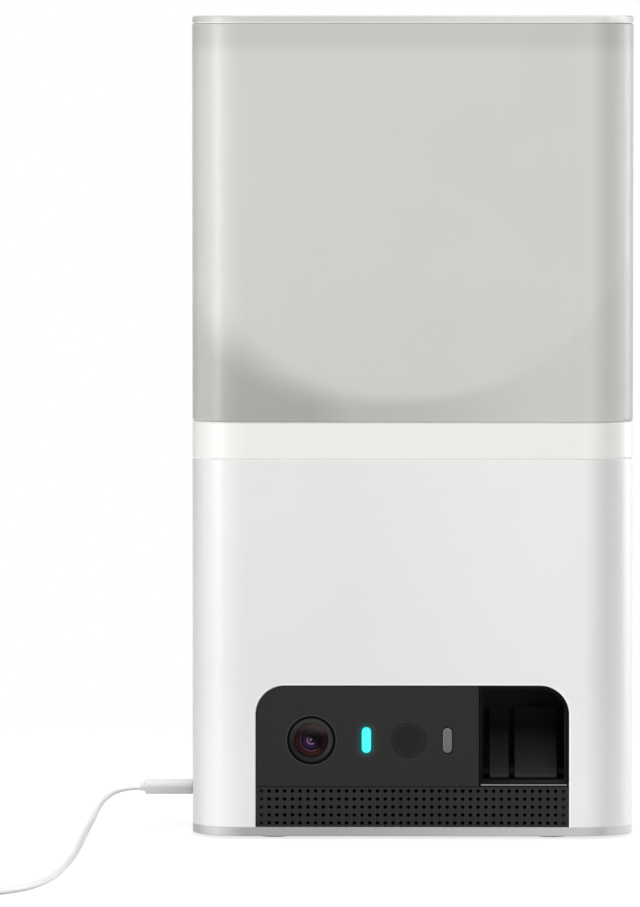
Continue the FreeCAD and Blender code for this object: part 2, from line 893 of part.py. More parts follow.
def repeat_across(body, original, count, pitch):
    """Repeat a feature in a row along its sketch's horizontal axis."""
    doc.recompute()
    pattern = body.newObject("PartDesign::LinearPattern", "row")
    pattern.Originals = [original]
    pattern.Direction = (original.Profile[0], ["H_Axis"])
    pattern.Mode = "Spacing"
    pattern.Occurrences = count
    bind(pattern, "Offset", pitch)
    body.Tip = pattern


def polygon(points):
    """Draws straight lines round some points."""
    def draw(sketch):
        places = [FreeCAD.Vector(as_size(across).value, as_size(up).value, 0) for across, up in points]
        lines = [sketch.addGeometry(Part.LineSegment(first, last), False)
                 for first, last in zip(places, places[1:] + places[:1])]
        for row, line in enumerate(lines):
            sketch.addConstraint(Sketcher.Constraint("Coincident", lines[row - 1], 2, line, 1))
            measure(sketch, "DistanceX", line, 1, points[row][0])
            measure(sketch, "DistanceY", line, 1, points[row][1])
    return draw


def revolve_about_y(body, centre_x, centre_z, points):
    """Turn a profile of y and radius pairs about a line along Y."""
    sketch = sketch_on(body, "YZ", centre_x)
    bind(sketch, "AttachmentOffset.Base.y", centre_z)
    polygon(points)(sketch)
    revolution = body.newObject("PartDesign::Revolution", "revolution")
    revolution.Profile = sketch
    revolution.ReferenceAxis = (sketch, ["H_Axis"])
    revolution.Angle = 360


bezel_front = panel_front - size.light_proud
bezel_back = bezel_front + size.bezel_depth
lens_front = bezel_front + size.lens_bulge / 2


def camera_bezel():
    body = new_body("camera_bezel")
    seat = lens_front + size.lens_bulge
    revolve_about_y(body, lens_x, feature_z, [
        (bezel_front, size.bezel_throat), (seat, size.lens_radius), (bezel_back, size.lens_radius),
        (bezel_back, size.bezel_radius), (bezel_front, size.bezel_radius)])
    return body


def camera_lens():
    radius = size.lens_radius - size.shaft_play
    curve = (radius * radius + size.lens_bulge * size.lens_bulge) / (size.lens_bulge * 2)
    ball = doc.addObject("Part::Sphere", "lens_ball")
    bind(ball, "Radius", curve)
    for key, value in zip("xyz", (lens_x, lens_front + curve, feature_z)):
        bind(ball, f"Placement.Base.{key}", value)
    blank = rod("lens_blank", "y", (lens_x, feature_z), radius, lens_front - size.slip, bezel_back)
    return common("camera_lens", ball, blank)


def camera_barrel():
    outer = rod("barrel_outer", "y", (lens_x, feature_z), size.barrel_radius, bezel_back, barrel_back)
    bore = size.barrel_radius - size.barrel_wall
    inner = rod("barrel_inner", "y", (lens_x, feature_z), bore, bezel_back, barrel_back)
    return cut("camera_barrel", outer, inner)


def camera_board():
    half = size.camera_board_size / 2
    return block("camera_board", (lens_x - half, lens_x + half),
                 (barrel_back, barrel_back + size.board_thickness), (feature_z - half, feature_z + half))


def light_pipe(name, centre_x):
    body = new_body(name)
    add_front(body, panel_front - size.light_proud, light_board_front, capsule(centre_x, feature_z))
    return body


def sensor_window():
    return rod("sensor_window", "y", (sensor_x, feature_z), size.sensor_radius,
               panel_front, light_board_front)


def light_board():
    half = size.light_board_height / 2
    margin = size.light_board_margin
    return block("light_board", (status_x - margin, aux_x + margin),
                 (light_board_front, light_board_front + size.board_thickness),
                 (feature_z - half, feature_z + half))


# ---- speaker ----

speaker_front = flange_back + size.running_gap
speaker_left = window_left + size.speaker_inset
speaker_right = kick_bracket_left - size.speaker_gap


def speaker_opening(inset):
    """Draws the speaker box's front outline, moved inwards by the inset."""
    return rectangle((speaker_left + inset, speaker_right - inset),
                     (base_top + inset, grille_top - inset), (size.speaker_wall,) * 4)


def speaker_housing():
    body = new_body("speaker_housing")
    back = speaker_front + size.speaker_depth
    add_front(body, speaker_front, back, speaker_opening(as_size(0)))
    cut_front(body, speaker_front, back - size.speaker_wall, speaker_opening(size.speaker_wall))
    return body


def speaker_cone():
    body = new_body("speaker_cone")
    edge = size.speaker_wall + size.shaft_play
    add_front(body, speaker_front, speaker_front + size.cone_thickness, speaker_opening(edge))
    cut_front(body, speaker_front, speaker_front + size.cone_thickness / 2,
              speaker_opening(edge + size.cone_rim))
    return body


# ---- launch chute and kicker ----

chute_x = (outlet_left + chute_right) / 2


def launch_chute():
    body = new_body("launch_chute")
    wall = size.chute_wall
    add_front(body, panel_front, chute_back,
              rectangle((outlet_left, chute_right), (panel_low, panel_top), (0, 0, panel_round, 0)))
    leg_y = (chute_back - size.leg_length, chute_back)
    leg = size.leg_width
    add_plan(body, base_top, panel_low, rectangle((outlet_left + leg, outlet_left + leg * 2), leg_y),
             rectangle((chute_right - leg * 2, chute_right - leg), leg_y))
    cut_front(body, panel_front, chute_back - wall,
              rectangle((outlet_left + wall, chute_right - wall), (chute_floor, panel_top - wall),
                        (0, 0, panel_round - wall, 0)))
    cut_plan(body, panel_top - panel_round, panel_top, disc(chute_x, drop_y, size.drop_radius))
    for left, right in ((outlet_left, outlet_left + wall), (chute_right - wall, chute_right)):
        cut_side(body, left, right, disc(kicker_y, kicker_z, size.bush_radius + size.shaft_play))
    return body


def outlet_lip():
    edge = size.chute_wall / 2
    return block("outlet_lip", (outlet_left + edge, chute_right - edge),
                 (panel_front - size.lip_proud, panel_front),
                 (chute_floor - edge - size.lip_height / 2, chute_floor - edge + size.lip_height / 2))


def kicker():
    """Two fingers flush with the front of one hub, drawn upright and then leaned back into the chute."""
    body = new_body("kicker")
    thickness = (-size.kicker_hub_radius, size.finger_thickness - size.kicker_hub_radius)
    rounds = (0, 0, size.finger_round, size.finger_round)
    add_side(body, narrow_left, wide_right, disc(0, 0, size.kicker_hub_radius))
    for left, right in ((narrow_left, narrow_right), (wide_left, wide_right)):
        add_side(body, left, right, rectangle(thickness, (as_size(0), size.kicker_arm), rounds))
    cut_side(body, narrow_left, wide_right, disc(0, 0, size.kicker_shaft_radius))
    lean = FreeCAD.Rotation(FreeCAD.Vector(1, 0, 0), -KICKER_LEAN)
    body.Placement = FreeCAD.Placement(FreeCAD.Vector(), lean)
    bind(body, "Placement.Base.y", kicker_y)
    bind(body, "Placement.Base.z", kicker_z)
    return body


def kicker_shaft():
    return rod("kicker_shaft", "x", (kicker_y, kicker_z), size.kicker_shaft_radius,
               kicker_shaft_left, spring_end + size.slip)


def kicker_bushes():
    place = (kicker_y, kicker_z)
    bushes = []
    for side, inner, wall_face, flange_end in (
            ("left", outlet_left + size.chute_wall, outlet_left, outlet_left - size.bush_flange),
            ("right", chute_right - size.chute_wall, chute_right, chute_right + size.bush_flange)):
        low, high = sorted((inner, flange_end), key=lambda edge: edge.value)
        flange_low, flange_high = sorted((wall_face, flange_end), key=lambda edge: edge.value)
        barrel = rod(f"bush_barrel_{side}", "x", place, size.bush_radius, low, high)
        flange = rod(f"bush_flange_{side}", "x", place, size.bush_flange_radius, flange_low, flange_high)
        bore = rod(f"bush_bore_{side}", "x", place, size.kicker_shaft_radius + size.shaft_play, low, high)
        bushes.append(cut(f"bush_{side}", fuse(f"bush_blank_{side}", barrel, flange), bore))
    return group("kicker_bushes", bushes)


def kicker_gear():
    shape = gear_shape(KICK_GEAR_TEETH, size.kick_module.value, size.kick_gear_width.value,
                       size.kicker_shaft_radius.value)
    return shaped("kicker_gear", shape, (kick_gear_left, kicker_y, kicker_z), "x", 90 + KICK_PINION_ANGLE)


def kick_pinion():
    shape = gear_shape(KICK_PINION_TEETH, size.kick_module.value, size.kick_gear_width.value,
                       size.motor_shaft_radius.value + size.shaft_play.value)
    facing = 270 + KICK_PINION_ANGLE
    return shaped("kick_pinion", shape, (kick_gear_left, kick_pinion_y, kick_pinion_z), "x",
                  facing + 180 / KICK_PINION_TEETH)


def kick_motor():
    place = (kick_pinion_y, kick_pinion_z)
    can = rod("kick_motor_can", "x", place, size.kick_motor_radius,
              kick_bracket_left - size.kick_motor_length, kick_bracket_left)
    shaft = rod("kick_motor_shaft", "x", place, size.motor_shaft_radius,
                kick_bracket_left, kick_gear_right + size.running_gap)
    return fuse("kick_motor", can, shaft)


def kick_motor_bracket():
    body = new_body("kick_motor_bracket")
    reach = size.kick_motor_radius + size.bracket_thickness
    along = (kick_pinion_y - reach, kick_pinion_y + reach)
    add_side(body, kick_bracket_left, kick_bracket_right,
             rectangle(along, (base_top, kick_pinion_z + reach)))
    add_plan(body, base_top, base_top + size.bracket_thickness,
             rectangle((kick_bracket_left, kick_gear_right), along))
    cut_side(body, kick_bracket_left, kick_bracket_right,
             disc(kick_pinion_y, kick_pinion_z, size.motor_shaft_radius + size.slip))
    return body


def kicker_spring():
    shape = spring_shape(size.spring_wire.value, size.spring_radius.value, size.spring_pitch.value,
                         SPRING_TURNS)
    place = (spring_start + size.spring_wire / 2, kicker_y, kicker_z)
    return shaped("kicker_spring", shape, place, "x")


# ---- treat duct ----

def drop_duct():
    body = new_body("drop_duct")
    bend_z = portion_gear_top + size.running_gap
    outer = size.drop_radius + size.duct_wall
    bend_x = wheel_x + portion_gear_reach + size.duct_gear_gap + outer
    stations = [(deck_low, drop_x, as_size(0)), (bend_z, bend_x, as_size(0)),
                (panel_top, chute_x, drop_y)]
    for kind, radius in (("Additive", outer), ("Subtractive", size.drop_radius)):
        sections = []
        for level, across, along in stations:
            sketch = sketch_on(body, "XY", level)
            disc(across, along, radius)(sketch)
            sections.append(sketch)
        loft = body.newObject(f"PartDesign::{kind}Loft", "loft")
        loft.Profile = sections[0]
        loft.Sections = sections[1:]
        loft.Ruled = True
    return body


# ---- portion drive under the deck ----

def portion_drive_bracket():
    body = new_body("portion_drive_bracket")
    margin = size.standoff_radius
    left = portion_pinion_x - size.standoff_reach
    right = wheel_x + size.standoff_shift
    along = portion_gear_reach + size.standoff_gap + margin
    add_plan(body, drive_bracket_low, drive_bracket_top,
             rectangle((left - margin, right + margin), both(along + margin)))
    add_plan(body, drive_bracket_top, deck_low,
             *[disc(x, y, margin) for x in (left, right) for y in both(along)])
    cut_plan(body, drive_bracket_low, drive_bracket_top,
             disc(wheel_x, 0, size.drive_shaft_radius + size.shaft_play),
             disc(portion_pinion_x, 0, size.motor_shaft_radius + size.slip))
    return body


def drive_shaft():
    round_part = rod("drive_shaft_round", "z", (wheel_x, 0), size.drive_shaft_radius,
                     drive_bracket_low, well_bottom)
    half = size.dog_width / 2
    dog = block("drive_dog", (wheel_x - half, wheel_x + half), both(half),
                (well_bottom, well_bottom + size.dog_height))
    return fuse("drive_shaft", round_part, dog)


def drive_gear():
    shape = gear_shape(PORTION_GEAR_TEETH, size.portion_module.value, size.portion_gear_width.value,
                       size.drive_shaft_radius.value)
    return shaped("drive_gear", shape, (wheel_x, 0, portion_gear_low), "z", 180)


def portion_pinion():
    shape = gear_shape(PORTION_PINION_TEETH, size.portion_module.value, size.portion_gear_width.value,
                       size.motor_shaft_radius.value + size.shaft_play.value)
    return shaped("portion_pinion", shape, (portion_pinion_x, 0, portion_gear_low), "z",
                  180 / PORTION_PINION_TEETH)


def portion_motor():
    place = (portion_pinion_x, 0)
    can = rod("portion_motor_can", "z", place, size.portion_motor_radius,
              drive_bracket_low - size.portion_motor_length, drive_bracket_low)
    shaft = rod("portion_motor_shaft", "z", place, size.motor_shaft_radius,
                drive_bracket_low, portion_gear_top + size.running_gap)
    return fuse("portion_motor", can, shaft)


def drive_bush():
    place = (wheel_x, 0)
    flange_top = deck_top + size.bush_flange
    barrel = rod("drive_bush_barrel", "z", place, size.drive_bush_radius, deck_low, flange_top)
    flange = rod("drive_bush_flange", "z", place, size.drive_bush_radius + size.bush_flange,
                 deck_top, flange_top)
    bore = rod("drive_bush_bore", "z", place, size.drive_shaft_radius + size.shaft_play,
               deck_low, flange_top)
    return cut("drive_bush", fuse("drive_bush_blank", barrel, flange), bore)


# ---- portion wheel and its housing, carried by the container ----

container_fit = size.container_wall + size.shaft_play


def portion_housing():
    body = new_body("portion_housing")
    spigot_inset = size.collar_wall + size.housing_gap
    add_plan(body, container_low, housing_top, outline(container_fit))
    add_plan(body, well_low, container_low,
             outline(spigot_inset), outline(spigot_inset + size.housing_wall))
    add_plan(body, well_low, container_low, disc(wheel_x, 0, size.well_radius + size.well_wall))
    cut_plan(body, well_bottom, housing_top, disc(wheel_x, 0, size.well_radius))
    cut_plan(body, well_low, well_bottom, disc(wheel_x, 0, size.drive_shaft_radius + size.running_gap),
             disc(drop_x, 0, size.drop_radius))
    half = latch_half_width + size.running_gap
    cut_plan(body, well_low, container_low,
             rectangle((size.release_x - half, size.release_x + half),
                       (latch_front - size.running_gap, back_face)))
    return body


def portion_wheel():
    """A vaned wheel about its own axis, moved over the drive shaft."""
    body = new_body("portion_wheel")
    add_plan(body, wheel_low, wheel_top, disc(0, 0, size.wheel_hub_radius))
    vane = add_plan(body, wheel_low, wheel_top,
                    rectangle((size.wheel_hub_radius / 2, size.well_radius - size.running_gap),
                              both(size.vane_thickness / 2)))
    doc.recompute()
    pattern = body.newObject("PartDesign::PolarPattern", "vanes")
    pattern.Originals = [vane]
    pattern.Axis = (vane.Profile[0], ["N_Axis"])
    pattern.Angle = 360
    pattern.Occurrences = VANES
    body.Tip = pattern
    half = size.dog_width / 2 + size.running_gap
    cut_plan(body, wheel_low, well_bottom + size.dog_height + size.running_gap,
             rectangle(both(half), both(half)))
    bind(body, "Placement.Base.x", wheel_x)
    return body


def stirrer():
    top = wheel_top + size.stirrer_height
    post = rod("stirrer_post", "z", (wheel_x, 0), size.stirrer_post_radius, wheel_top, top)
    bar = block("stirrer_bar", (wheel_x, wheel_x + size.stirrer_reach), both(size.stirrer_bar / 2),
                (top - size.stirrer_bar, top))
    return fuse("stirrer", post, bar)


def drop_baffle():
    """A sector over the drop hole, so that only the pocket under it empties."""
    span = (baffle_low, baffle_low + size.baffle_thickness)
    plate = rod("baffle_plate", "z", (wheel_x, 0), size.well_radius, *span)
    plate.Placement = FreeCAD.Placement(FreeCAD.Vector(), FreeCAD.Rotation(Z_AXIS, -BAFFLE_HALF_ANGLE))
    plate.Angle = 2 * BAFFLE_HALF_ANGLE
    hole = rod("baffle_hole", "z", (wheel_x, 0), size.baffle_centre_hole, *span)
    return cut("drop_baffle", plate, hole)


# ---- treat container and lid ----

def treat_container():
    body = new_body("treat_container")
    add_plan(body, container_low, container_top, outline(0))
    cut_plan(body, container_low, container_top, outline(size.container_wall))
    round_outline(body, container_low, size.edge_round)
    round_outline(body, container_top, size.edge_round)
    return body


def hopper_bowl():
    """A curved floor across the container with a round neck down to the portion wheel."""
    span = (front_face, back_face)
    curve = size.bowl_curve
    centre = (as_size(0), bowl_centre_z)
    floor_low = bowl_low - size.bowl_wall
    inside = rod("bowl_inside", "y", centre, curve, *span)
    outside = rod("bowl_outside", "y", centre, curve + size.bowl_wall, *span)
    blank = new_body("bowl_blank")
    add_plan(blank, floor_low, bowl_low + size.bowl_height, outline(container_fit))
    well = rod("bowl_well", "z", (wheel_x, 0), size.well_radius, housing_top, bowl_low + size.bowl_height)
    floor = cut("bowl_floor", common("bowl_disc", blank, outside), inside)
    neck = rod("bowl_neck", "z", (wheel_x, 0), size.well_radius + size.well_wall,
               housing_top, bowl_low + size.neck_height)
    tube = cut("bowl_tube", neck, inside)
    return cut("hopper_bowl", fuse("bowl_and_neck", floor, tube), well)


def lid():
    body = new_body("lid")
    skirt_inset = size.container_wall + size.running_gap
    add_plan(body, lid_low, lid_top, outline(0))
    add_plan(body, lid_low - size.lid_skirt_depth, lid_low, outline(skirt_inset),
             outline(skirt_inset + size.lid_skirt_wall))
    cut_plan(body, lid_low, gasket_top, outline(gasket_inset), outline(gasket_inset + size.gasket_width))
    round_outline(body, lid_top, size.lid_round)
    return body


gasket_inset = (size.container_wall - size.gasket_width) / 2
gasket_top = lid_low - size.slip + size.gasket_height


def lid_gasket():
    body = new_body("lid_gasket")
    add_plan(body, lid_low - size.slip, gasket_top,
             outline(gasket_inset), outline(gasket_inset + size.gasket_width))
    return body


# ---- container release ----

latch_half_width = size.release_flange_radius + size.latch_wall + size.running_gap
release_flange_back = collar_inner_back - size.running_gap
release_flange_front = release_flange_back - size.release_flange


def release_button():
    place = (size.release_x, release_z)
    button = rod("release_cap", "y", place, size.release_radius,
                 release_flange_front, back_face - size.release_recess)
    flange = rod("release_flange", "y", place, size.release_flange_radius,
                 release_flange_front, release_flange_back)
    return fuse("release_button", button, flange)


def latch_bracket():
    body = new_body("latch_bracket")
    low, high = sleeve_top - size.latch_wall, collar_top - size.latch_wall
    outer = latch_half_width
    inner = outer - size.latch_wall
    add_plan(body, low, high, rectangle((size.release_x - outer, size.release_x + outer),
                                        (latch_front, collar_inner_back)))
    cut_plan(body, low, high, rectangle((size.release_x - inner, size.release_x + inner),
                                        (latch_front + size.latch_wall, collar_inner_back)))
    return body


def release_spring():
    half_wire = size.release_spring_wire / 2
    start = latch_front + size.latch_wall + half_wire
    free = release_flange_front - size.release_travel - size.running_gap - half_wire - start
    shape = spring_shape(size.release_spring_wire.value, size.release_spring_radius.value,
                         free.value / SPRING_TURNS, SPRING_TURNS)
    return shaped("release_spring", shape, (size.release_x, start, release_z), "y")


# ---- rear panel and electronics ----

def rear_panel():
    body = new_body("rear_panel")
    half = size.rear_half_width
    gap = size.window_gap
    over = size.flange_overlap
    add_front(body, sleeve_inner_back, rear_face, rectangle(
        both(half - gap), (rear_low + gap, rear_top - gap), (size.rear_round - gap,) * 4))
    add_front(body, rear_flange_front, sleeve_inner_back, rectangle(
        both(half + over), (rear_low - over, rear_top + over), (size.rear_round + over,) * 4))
    boss_front = rear_face - size.insert_length
    add_front(body, boss_front, rear_flange_front,
              *[disc(x, insert_z, size.insert_radius + size.boss_wall) for x in both(insert_x)])
    add_front(body, main_board_back, rear_flange_front,
              *[disc(x, z, size.standoff_radius) for x, z in board_corners()])
    cut_front(body, boss_front, rear_face,
              *[disc(x, insert_z, size.insert_radius) for x in both(insert_x)])
    reset_hole = disc(size.reset_x, reset_z, size.reset_radius + size.running_gap)
    cut_front(body, rear_flange_front, rear_face, reset_hole)
    slots = []
    room = rear_top - size.vent_pitch - size.vent_height - vent_low
    for row in range(how_many(room, as_size(0), size.vent_pitch)):
        low = vent_low + size.vent_pitch * row
        slots.append(rectangle(both(size.vent_width / 2), (low, low + size.vent_height)))
    cut_front(body, rear_flange_front, rear_face, *slots)
    return body


insert_x = size.insert_spacing / 2
vent_low = rear_low + size.vent_first
main_board_low = reset_z - size.board_margin


def board_corners():
    """Places of the main board's standoffs."""
    across = size.main_board_width / 2 - size.board_margin
    low = main_board_low + size.board_margin
    high = main_board_low + size.main_board_height - size.board_margin
    return [(x, z) for x in both(across) for z in (low, high)]


def wall_inserts():
    inserts = []
    for side, across in (("left", -insert_x), ("right", insert_x)):
        span = (rear_face - size.insert_length, rear_face)
        brass = rod(f"insert_body_{side}", "y", (across, insert_z), size.insert_radius, *span)
        bore = rod(f"insert_bore_{side}", "y", (across, insert_z), size.insert_bore, *span)
        inserts.append(cut(f"insert_{side}", brass, bore))
    return group("wall_inserts", inserts)


def main_board():
    half = size.main_board_width / 2
    return block("main_board", both(half), (main_board_front, main_board_back),
                 (main_board_low, main_board_low + size.main_board_height))


def board_shield():
    half = size.shield_width / 2
    middle = main_board_low + size.main_board_height / 2
    return block("board_shield", both(half), (main_board_front - size.shield_depth, main_board_front),
                 (middle - size.shield_height / 2, middle + size.shield_height / 2))


def reset_button():
    place = (size.reset_x, reset_z)
    flange_back = rear_flange_front - size.running_gap
    stem_front = main_board_back + size.reset_travel + size.running_gap
    stem = rod("reset_stem", "y", place, size.reset_radius, stem_front, rear_face - size.rear_recess)
    flange = rod("reset_flange", "y", place, size.reset_radius + size.reset_flange,
                 flange_back - size.reset_flange, flange_back)
    return fuse("reset_button", stem, flange)


# ---- power jack, plug and cord ----

def power_jack():
    box_left = left_face + size.sleeve_wall + size.slip + size.rim_wall + size.slip
    half = size.jack_width / 2
    place = (size.jack_y, jack_z)
    box = block("jack_box", (box_left, box_left + size.jack_length),
                (size.jack_y - half, size.jack_y + half), (base_top, jack_z + half))
    nose = rod("jack_nose", "x", place, size.jack_nose_radius, left_face, box_left)
    bore = rod("jack_bore", "x", place, size.pin_radius + size.shaft_play,
               left_face, left_face + size.pin_length + size.slip)
    return cut("power_jack", fuse("jack_body", box, nose), bore)


def dc_plug():
    place = (size.jack_y, jack_z)
    barrel = rod("plug_barrel", "x", place, size.plug_radius, plug_end_x, left_face)
    neck = rod("plug_neck", "x", place, size.neck_radius, plug_end_x - size.neck_length, plug_end_x)
    return fuse("dc_plug", barrel, neck)


def dc_plug_pin():
    return rod("dc_plug_pin", "x", (size.jack_y, jack_z), size.pin_radius,
               left_face, left_face + size.pin_length)


def power_cord():
    tube, length, radii = cord_shape(CORD_ROUTE, size.cord_diameter.value)
    section = math.pi * size.cord_diameter.value ** 2 / 4
    print("cord bend radii", [round(radius, 1) for radius in radii])
    print("cord length", round(length, 1))
    print("cord volume", round(tube.Volume, 2), "section by length", round(section * length, 2))
    cord = doc.addObject("Part::Feature", "power_cord")
    cord.Shape = tube
    return cord


coil_top = size.tie_thickness + size.coil_height


def cord_coil():
    place = (size.coil_x, size.coil_y)
    outer = rod("coil_outer", "z", place, size.coil_outer_radius, size.tie_thickness, coil_top)
    inner = rod("coil_inner", "z", place, size.coil_inner_radius, size.tie_thickness, coil_top)
    return cut("cord_coil", outer, inner)


def cord_tie():
    """A strap round one side of the coil."""
    thick = size.tie_thickness
    inner = size.coil_x + size.coil_inner_radius - size.tie_slack
    outer = size.coil_x + size.coil_outer_radius
    along = (size.coil_y - size.tie_width / 2, size.coil_y + size.tie_width / 2)
    strap = block("tie_outside", (inner - thick, outer + thick), along,
                  (as_size(0), coil_top + thick))
    space = block("tie_inside", (inner, outer), along, (thick, coil_top))
    return cut("cord_tie", strap, space)


usb_x = size.coil_x - size.coil_outer_radius - size.cord_diameter / 2
usb_start = size.coil_y + size.usb_neck_length
usb_end = usb_start + size.usb_body_length


def usb_plug_body():
    body = new_body("usb_plug_body")
    half = size.usb_body_width / 2
    add_front(body, usb_start, usb_end,
              rectangle((usb_x - half, usb_x + half), (as_size(0), size.usb_body_height),
                        (size.usb_round,) * 4))
    add_front(body, usb_start - size.usb_neck_length, usb_start,
              disc(usb_x, size.usb_body_height / 2, size.usb_neck_radius))
    return body


def usb_plug_shell():
    body = new_body("usb_plug_shell")
    half = size.usb_shell_width / 2
    wall = size.usb_shell_wall
    low = (size.usb_body_height - size.usb_shell_height) / 2
    high = low + size.usb_shell_height
    span = (usb_end, usb_end + size.usb_shell_length)
    add_front(body, *span, rectangle((usb_x - half, usb_x + half), (low, high)))
    cut_front(body, *span,
              rectangle((usb_x - half + wall, usb_x + half - wall), (low + wall, high - wall)))
    return body


# ---- build, check and write ----

def build_all():
    makers = [
        base_plate, rubber_feet, base_screws, body_sleeve, collar_ring, inner_frame, front_panel,
        speaker_grille, camera_bezel, camera_lens, camera_barrel, camera_board, sensor_window,
        light_board, speaker_housing, speaker_cone, launch_chute, outlet_lip, kicker, kicker_shaft,
        kicker_bushes, kicker_gear, kick_pinion, kick_motor, kick_motor_bracket, kicker_spring,
        drop_duct, portion_drive_bracket, drive_shaft, drive_gear, portion_pinion, portion_motor,
        drive_bush, portion_housing, portion_wheel, stirrer, drop_baffle, treat_container,
        hopper_bowl, lid, lid_gasket, release_button, latch_bracket, release_spring, rear_panel,
        wall_inserts, main_board, board_shield, reset_button, power_jack, dc_plug, dc_plug_pin,
        power_cord, cord_coil, cord_tie, usb_plug_body, usb_plug_shell,
    ]
    pieces = [maker() for maker in makers]
    pieces.append(light_pipe("status_light_pipe", status_x))
    pieces.append(light_pipe("aux_light_pipe", aux_x))
    return pieces


def check(pieces):
    """Stop if any object failed or any piece isn't a sound solid."""
    for item in doc.Objects:
        if "Invalid" in item.State or "Error" in item.State:
            raise RuntimeError(f"{item.Name} failed: {item.State}")
    for piece in pieces:
        if piece.Shape.isNull() or not piece.Shape.isValid() or not piece.Shape.Solids:
            raise RuntimeError(f"{piece.Label} has no sound solid")


def write(pieces):
    os.makedirs("parts", exist_ok=True)
    for piece in pieces:
        piece.Shape.exportStep(f"parts/{piece.Label}.step")


all_pieces = build_all()
doc.recompute()
check(all_pieces)
write(all_pieces)
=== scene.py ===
import math

import bmesh
import bpy
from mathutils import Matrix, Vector


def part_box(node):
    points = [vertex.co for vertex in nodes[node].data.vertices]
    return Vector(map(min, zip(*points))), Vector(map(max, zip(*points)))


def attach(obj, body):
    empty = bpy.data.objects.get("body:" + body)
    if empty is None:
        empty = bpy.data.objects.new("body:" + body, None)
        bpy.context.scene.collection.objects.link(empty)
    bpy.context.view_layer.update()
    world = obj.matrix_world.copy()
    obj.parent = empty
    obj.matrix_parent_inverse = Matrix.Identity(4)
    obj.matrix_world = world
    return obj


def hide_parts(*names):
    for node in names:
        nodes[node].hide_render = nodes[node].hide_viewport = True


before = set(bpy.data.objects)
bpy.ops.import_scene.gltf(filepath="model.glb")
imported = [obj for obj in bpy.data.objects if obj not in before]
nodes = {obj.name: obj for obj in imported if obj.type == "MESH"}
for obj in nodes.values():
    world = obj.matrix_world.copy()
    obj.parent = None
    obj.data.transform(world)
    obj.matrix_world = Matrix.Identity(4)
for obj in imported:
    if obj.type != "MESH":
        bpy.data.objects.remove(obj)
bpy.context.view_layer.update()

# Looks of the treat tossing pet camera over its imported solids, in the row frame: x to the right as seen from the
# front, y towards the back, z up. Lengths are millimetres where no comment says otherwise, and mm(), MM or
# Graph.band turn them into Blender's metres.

MM = 0.001
scene = bpy.context.scene


def mm(*values):
    """A vector in metres."""
    return Vector([v * MM for v in values])


def box(node):
    """A node's lowest and highest corners at rest, in millimetres."""
    return [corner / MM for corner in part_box(node)]


def middle_of(node):
    """The middle of a node's box at rest, and half its size, in millimetres."""
    low, high = box(node)
    return (low + high) / 2, (high - low) / 2


# ---------------------------------------------------------------- camera

CAMERA_PLACE = Vector((0.0, -2.837, 0.270))  # metres, as the next two are
CAMERA_TARGET = Vector((-0.0303, -0.037, 0.12675))
FRAME_HEIGHT = 0.29696  # how much of the front plane the picture's height shows
SENSOR = 36.0  # the camera's own unit


def make_camera():
    data = bpy.data.cameras.new("camera")
    data.sensor_width = SENSOR
    away = CAMERA_TARGET - CAMERA_PLACE
    data.lens = SENSOR * away.length / FRAME_HEIGHT
    data.clip_start, data.clip_end = 0.1, 200
    camera = bpy.data.objects.new("camera", data)
    scene.collection.objects.link(camera)
    camera.location = CAMERA_PLACE
    camera.rotation_euler = away.to_track_quat("-Z", "Y").to_euler()
    scene.camera = camera


make_camera()
scene.view_settings.view_transform = "Standard"


# ---------------------------------------------------------------- shader graphs

class Tree:
    """A node tree built by short calls."""

    def __init__(self, tree):
        self.tree = tree

    def add(self, kind, **settings):
        node = self.tree.nodes.new(kind)
        for key, value in settings.items():
            setattr(node, key, value)
        return node

    def put(self, socket, value):
        if isinstance(value, bpy.types.NodeSocket):
            self.tree.links.new(value, socket)
        else:
            socket.default_value = value

    def math(self, operation, *values):
        node = self.add("ShaderNodeMath", operation=operation)
        for socket, value in zip(node.inputs, values):
            self.put(socket, value)
        return node.outputs[0]

    def mix_shaders(self, factor, first, second):
        node = self.add("ShaderNodeMixShader")
        for socket, value in zip(node.inputs, (factor, first, second)):
            self.put(socket, value)
        return node.outputs[0]

    def background_ray(self):
        """1 for camera, glossy and transmission rays."""
        path = self.add("ShaderNodeLightPath").outputs
        seen = self.math("MAXIMUM", path["Is Camera Ray"], path["Is Glossy Ray"])
        return self.math("MAXIMUM", seen, path["Is Transmission Ray"])


